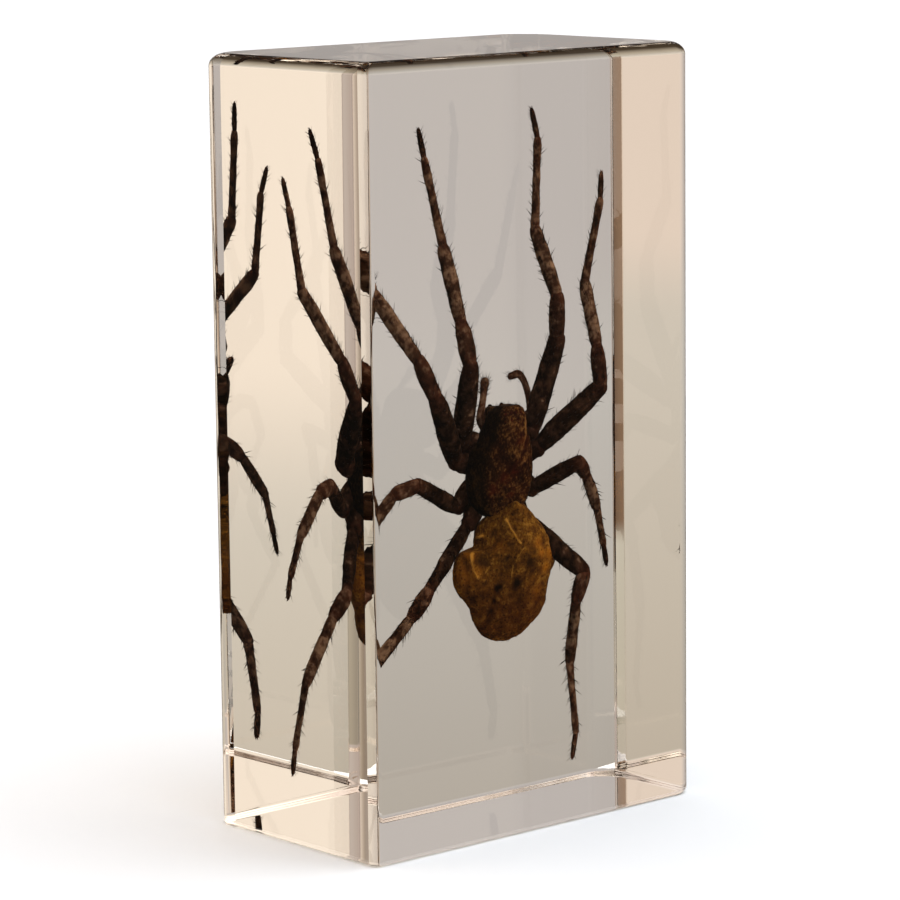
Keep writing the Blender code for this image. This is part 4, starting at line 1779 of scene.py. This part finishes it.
@dataclass(frozen=True)
class Studio:
    """A pale floor, soft light from all round, and the camera."""

    floor_reach: float = 4.0
    floor_level: float = -0.05 * MM
    sheet_half: tuple[float, float] = (22 * MM, 13.5 * MM)
    sheet_level: float = -0.03 * MM
    seen_backdrop: str = "#ffffff"
    target: float = 36.5  # height that the camera looks at, in mm
    turn: float = -41.615  # degrees, as are tilt and roll
    tilt: float = 9.256
    roll: float = -0.645
    distance: float = 375.69  # mm
    slide: tuple[float, float] = (-0.251, -1.688)  # mm to the camera's right and up
    lens: float = 158.264
    film_width: float = 36.0  # mm
    nearest_seen: float = 10 * MM
    # Tones round the room, above and below, by the share of a full turn that starts behind
    # the camera at -Y and runs by way of -X, +Y and +X. The wide grey panel, from 0.44 to
    # 0.66, stands behind the block.
    room: tuple[tuple[float, str, str], ...] = (
        (0.0, "#cdc0b4", "#cdc0a9"), (0.09, "#ab978a", "#8a7f72"), (0.18, "#b9aca3", "#cbc2b0"),
        (0.26, "#6f5b4c", "#d2cab6"), (0.31, "#94755a", "#cbc2b0"), (0.338, "#e2cbb4", "#cfc3b0"),
        (0.39, "#e6d4c3", "#d2c8b9"), (0.44, "#c2b8b0", "#c4beb5"), (0.47, "#bbb3ad", "#c1bcb5"),
        (0.655, "#bdb6b1", "#c2bcb4"), (0.685, "#a39180", "#9c8a78"), (0.73, "#d0bda9", "#bfae99"),
        (0.8, "#efdfcd", "#d2c8b8"), (0.86, "#f9ead7", "#dfd5c6"), (0.91, "#f9e8d4", "#dcd3c4"),
        (1.0, "#cdc0b4", "#cdc0a9"),
    )
    # Sines of the heights where the lower tones end and the upper ones begin, each with its
    # changes over stretches of the turn.
    lower_end: tuple[float, Rows] = (-0.185, ((0.34, 0.36, 0.055), (0.5, 0.6, -0.055)))
    upper_start: tuple[float, Rows] = (-0.178, ((0.315, 0.345, 0.073), (0.66, 0.8, -0.03)))
    # How bright the room is from straight down to straight up.
    rise: Tones = (
        (0.0, "#4a4035"), (0.24, "#584d41"), (0.34, "#d5cec4"), (0.43, "#ffffff"), (1.0, "#ffffff"),
    )
    room_strength: float = 1.05
    ceiling_strength: float = 1.5  # added high up, for the floor and the spider
    ceiling: tuple[float, float] = (0.45, 0.9)  # sines of the heights over which it sets in
    flagged_share: float = 0.08  # what the upright faces mirror, as on a set with black flags
    top_band: tuple[float, float] = (0.11, 0.09)  # the band that the top mirrors: its middle and half
    # The soft light that the spider gets, as shares of the room's: away from the key and
    # near it, and the cosines of the angles to the key between which it rises.
    fill_shares: tuple[float, float] = (0.25, 3.0)
    fill_rise: tuple[float, float] = (-0.15, 0.7)
    key: Vector = field(default_factory=lambda: Vector((0.75, -0.6, 0.3)).normalized())
    lamp_colour: str = "#d8ecff"
    lamp_energy: float = 2.0
    lamp_width: float = 70.0  # degrees across
    lamp_turn: tuple[float, float] = (22.0, 14.0)  # degrees about X and Y
    mirrorings: int = 20  # how often light may pass or meet the block's sides
    gloss_bounces: int = 12

    def build_floor(self) -> None:
        """Lays the floor, and the bit of it under the block that only the resin shows."""
        paper = MattPaper().material()
        disc = bmesh.new()
        bmesh.ops.create_circle(disc, cap_ends=True, radius=self.floor_reach, segments=64)
        floor = show_object("floor", disc, paper)
        floor.location.z = self.floor_level
        floor.visible_transmission = False
        floor.visible_glossy = False
        grid = bmesh.new()
        bmesh.ops.create_grid(grid, x_segments=1, y_segments=1, size=1.0)
        bmesh.ops.scale(grid, vec=(*self.sheet_half, 1.0), verts=grid.verts[:])
        sheet = show_object("floor_under_block", grid, paper)
        sheet.location.z = self.sheet_level
        sheet.visible_camera = False
        sheet.visible_diffuse = False
        sheet.visible_shadow = False

    def room_tone(self, tree: NodeTree, axes: NodeOutputs) -> NodeSocket:
        """Colours the room by the turn and the height.

        Args:
            tree: The world's nodes.
            axes: The direction's X, Y and Z.

        Returns:
            The colour.
        """
        angle = add_node(tree, "Math", {"operation": "ARCTAN2"}, {0: axes["X"], 1: axes["Y"]})
        turn = add_node(tree, "Math", {"operation": "MULTIPLY_ADD"}, {
            0: angle.outputs[0], 1: 1 / tau, 2: 0.5,
        })
        tones = [[(place, colours[level]) for place, *colours in self.room] for level in (0, 1)]
        upper, lower = [
            add_node(tree, "ValToRGB", inputs={"Fac": turn.outputs[0]}, stops=stops) for stops in tones
        ]
        borders = []
        for border, changes in (self.lower_end, self.upper_start):
            for start, stop, change in changes:
                step = add_node(tree, "MapRange", inputs={
                    "Value": turn.outputs[0], "From Min": start, "From Max": stop, "To Max": change,
                })
                border = add_node(tree, "Math", inputs={0: border, 1: step.outputs[0]}).outputs[0]
            borders.append(border)
        above = add_node(tree, "MapRange", {"interpolation_type": "SMOOTHSTEP"}, {
            "Value": axes["Z"], "From Min": borders[0], "From Max": borders[1],
        })
        sides = add_node(tree, "Mix", {"data_type": "RGBA"}, {
            MIX_FACTOR: above.outputs[0], MIX_A: lower.outputs[0], MIX_B: upper.outputs[0],
        })
        height = add_node(tree, "Math", {"operation": "MULTIPLY_ADD"}, {
            0: axes["Z"], 1: 0.5, 2: 0.5,
        })
        shade = add_node(tree, "ValToRGB", inputs={"Fac": height.outputs[0]}, stops=self.rise)
        tone = add_node(tree, "Mix", {"data_type": "RGBA", "blend_type": "MULTIPLY"}, {
            MIX_FACTOR: 1.0, MIX_A: sides.outputs[MIX_RESULT], MIX_B: shade.outputs[0],
        })
        return tone.outputs[MIX_RESULT]

    def room_light(
        self, tree: NodeTree, direction: NodeSocket, axes: NodeOutputs, path: NodeOutputs
    ) -> NodeSocket:
        """Sets how bright the room is to each kind of ray.

        What is mirrored off the block's outside is dark but for a band over the horizon,
        which its top face mirrors. What lies in the resin is lit from the key's side.

        Args:
            tree: The world's nodes.
            direction: The ray's direction.
            axes: Its X, Y and Z.
            path: What kind of ray it is.

        Returns:
            The strength.
        """
        ceiling = add_node(tree, "MapRange", {"interpolation_type": "SMOOTHSTEP"}, {
            "Value": axes["Z"], "From Min": self.ceiling[0], "From Max": self.ceiling[1],
            "To Min": self.room_strength, "To Max": self.room_strength + self.ceiling_strength,
        })
        off_top = add_node(tree, "Math", {"operation": "COMPARE"}, {
            0: axes["Z"], 1: self.top_band[0], 2: self.top_band[1],
        })
        unflagged = off_top.outputs[0]
        for kind in ("Is Transmission Ray", "Is Diffuse Ray"):
            either = add_node(tree, "Math", {"operation": "MAXIMUM"}, {0: unflagged, 1: path[kind]})
            unflagged = either.outputs[0]
        flagged = add_node(tree, "MapRange", inputs={
            "Value": unflagged, "To Min": self.flagged_share,
        })
        in_resin = add_node(tree, "Math", {"operation": "MULTIPLY", "use_clamp": True}, {
            0: path["Diffuse Depth"], 1: path["Transmission Depth"],
        })
        facing_key = add_node(tree, "VectorMath", {"operation": "DOT_PRODUCT"}, {
            0: direction, 1: self.key,
        })
        soft = add_node(tree, "MapRange", inputs={
            "Value": facing_key.outputs["Value"],
            "From Min": self.fill_rise[0], "From Max": self.fill_rise[1],
            "To Min": self.fill_shares[0], "To Max": self.fill_shares[1],
        })
        fill = add_node(tree, "MapRange", inputs={
            "Value": in_resin.outputs[0], "To Min": 1.0, "To Max": soft.outputs[0],
        })
        strength = ceiling.outputs[0]
        for share in (flagged, fill):
            strength = add_node(tree, "Math", {"operation": "MULTIPLY"}, {
                0: strength, 1: share.outputs[0],
            }).outputs[0]
        return strength

    def build_room(self) -> None:
        """Gives the world its soft tones, seen through the resin, and a white backdrop."""
        world = bpy.data.worlds.new("soft_room")
        bpy.context.scene.world = world
        world.use_nodes = True
        tree = world.node_tree
        tree.nodes.clear()
        direction = add_node(tree, "TexCoord").outputs["Generated"]
        axes = add_node(tree, "SeparateXYZ", inputs={0: direction}).outputs
        path = add_node(tree, "LightPath").outputs
        room = add_node(tree, "Background", inputs={
            "Color": self.room_tone(tree, axes), "Strength": self.room_light(tree, direction, axes, path),
        })
        backdrop = add_node(tree, "Background", inputs={"Color": linear(self.seen_backdrop)})
        mixed = add_node(tree, "MixShader", inputs={
            0: path["Is Camera Ray"], 1: room.outputs[0], 2: backdrop.outputs[0],
        })
        add_node(tree, "OutputWorld", inputs={"Surface": mixed.outputs[0]})

    def build_lamp(self) -> None:
        """Lights the floor evenly with one very wide soft lamp from above."""
        data = bpy.data.lights.new("overhead_softbox", "SUN")
        data.angle = radians(self.lamp_width)
        data.energy = self.lamp_energy
        data.color = linear(self.lamp_colour)[:3]
        lamp = bpy.data.objects.new("overhead_softbox", data)
        lamp.rotation_euler = (*(radians(turn) for turn in self.lamp_turn), 0.0)
        lamp.visible_transmission = False
        lamp.visible_glossy = False
        bpy.context.scene.collection.objects.link(lamp)

    def build_camera(self) -> None:
        """Stands the camera where the photograph was taken from."""
        turn, tilt, roll = radians(self.turn), radians(self.tilt), radians(self.roll)
        away = Vector((sin(turn) * cos(tilt), -cos(turn) * cos(tilt), sin(tilt)))
        level = (-away).cross(Z_AXIS).normalized()
        upright = level.cross(-away)
        right = level * cos(roll) + upright * sin(roll)
        up = upright * cos(roll) - level * sin(roll)
        matrix = Matrix((right, up, away)).transposed().to_4x4()
        slide_x, slide_y = self.slide
        place = Z_AXIS * self.target + away * self.distance + right * slide_x + up * slide_y
        matrix.translation = place * MM
        data = bpy.data.cameras.new("camera")
        data.sensor_width = self.film_width
        data.lens = self.lens
        data.clip_start = self.nearest_seen
        camera = bpy.data.objects.new("camera", data)
        camera.matrix_world = matrix
        bpy.context.scene.collection.objects.link(camera)
        bpy.context.scene.camera = camera

    def set_light_paths(self) -> None:
        """Lets light pass the block's many inner mirrorings, and keeps colours plain."""
        scene = bpy.context.scene
        scene.view_settings.view_transform = "Standard"
        scene.cycles.max_bounces = self.mirrorings
        scene.cycles.transmission_bounces = self.mirrorings
        scene.cycles.glossy_bounces = self.gloss_bounces

    def build(self) -> None:
        """Sets up the whole stage."""
        self.build_floor()
        self.build_room()
        self.build_lamp()
        self.build_camera()
        self.set_light_paths()


def main() -> None:
    """Builds the spider, the block and the studio in order."""
    logging.basicConfig(level=logging.INFO, format="%(name)s %(message)s")
    finishes = SpiderFinishes.made()
    Prosoma().build(finishes)
    Abdomen().build(finishes)
    for leg in LEGS:
        leg.build(finishes)
    ResinBlock().build()
    Studio().build()


if __name__ == "__main__":
    main()
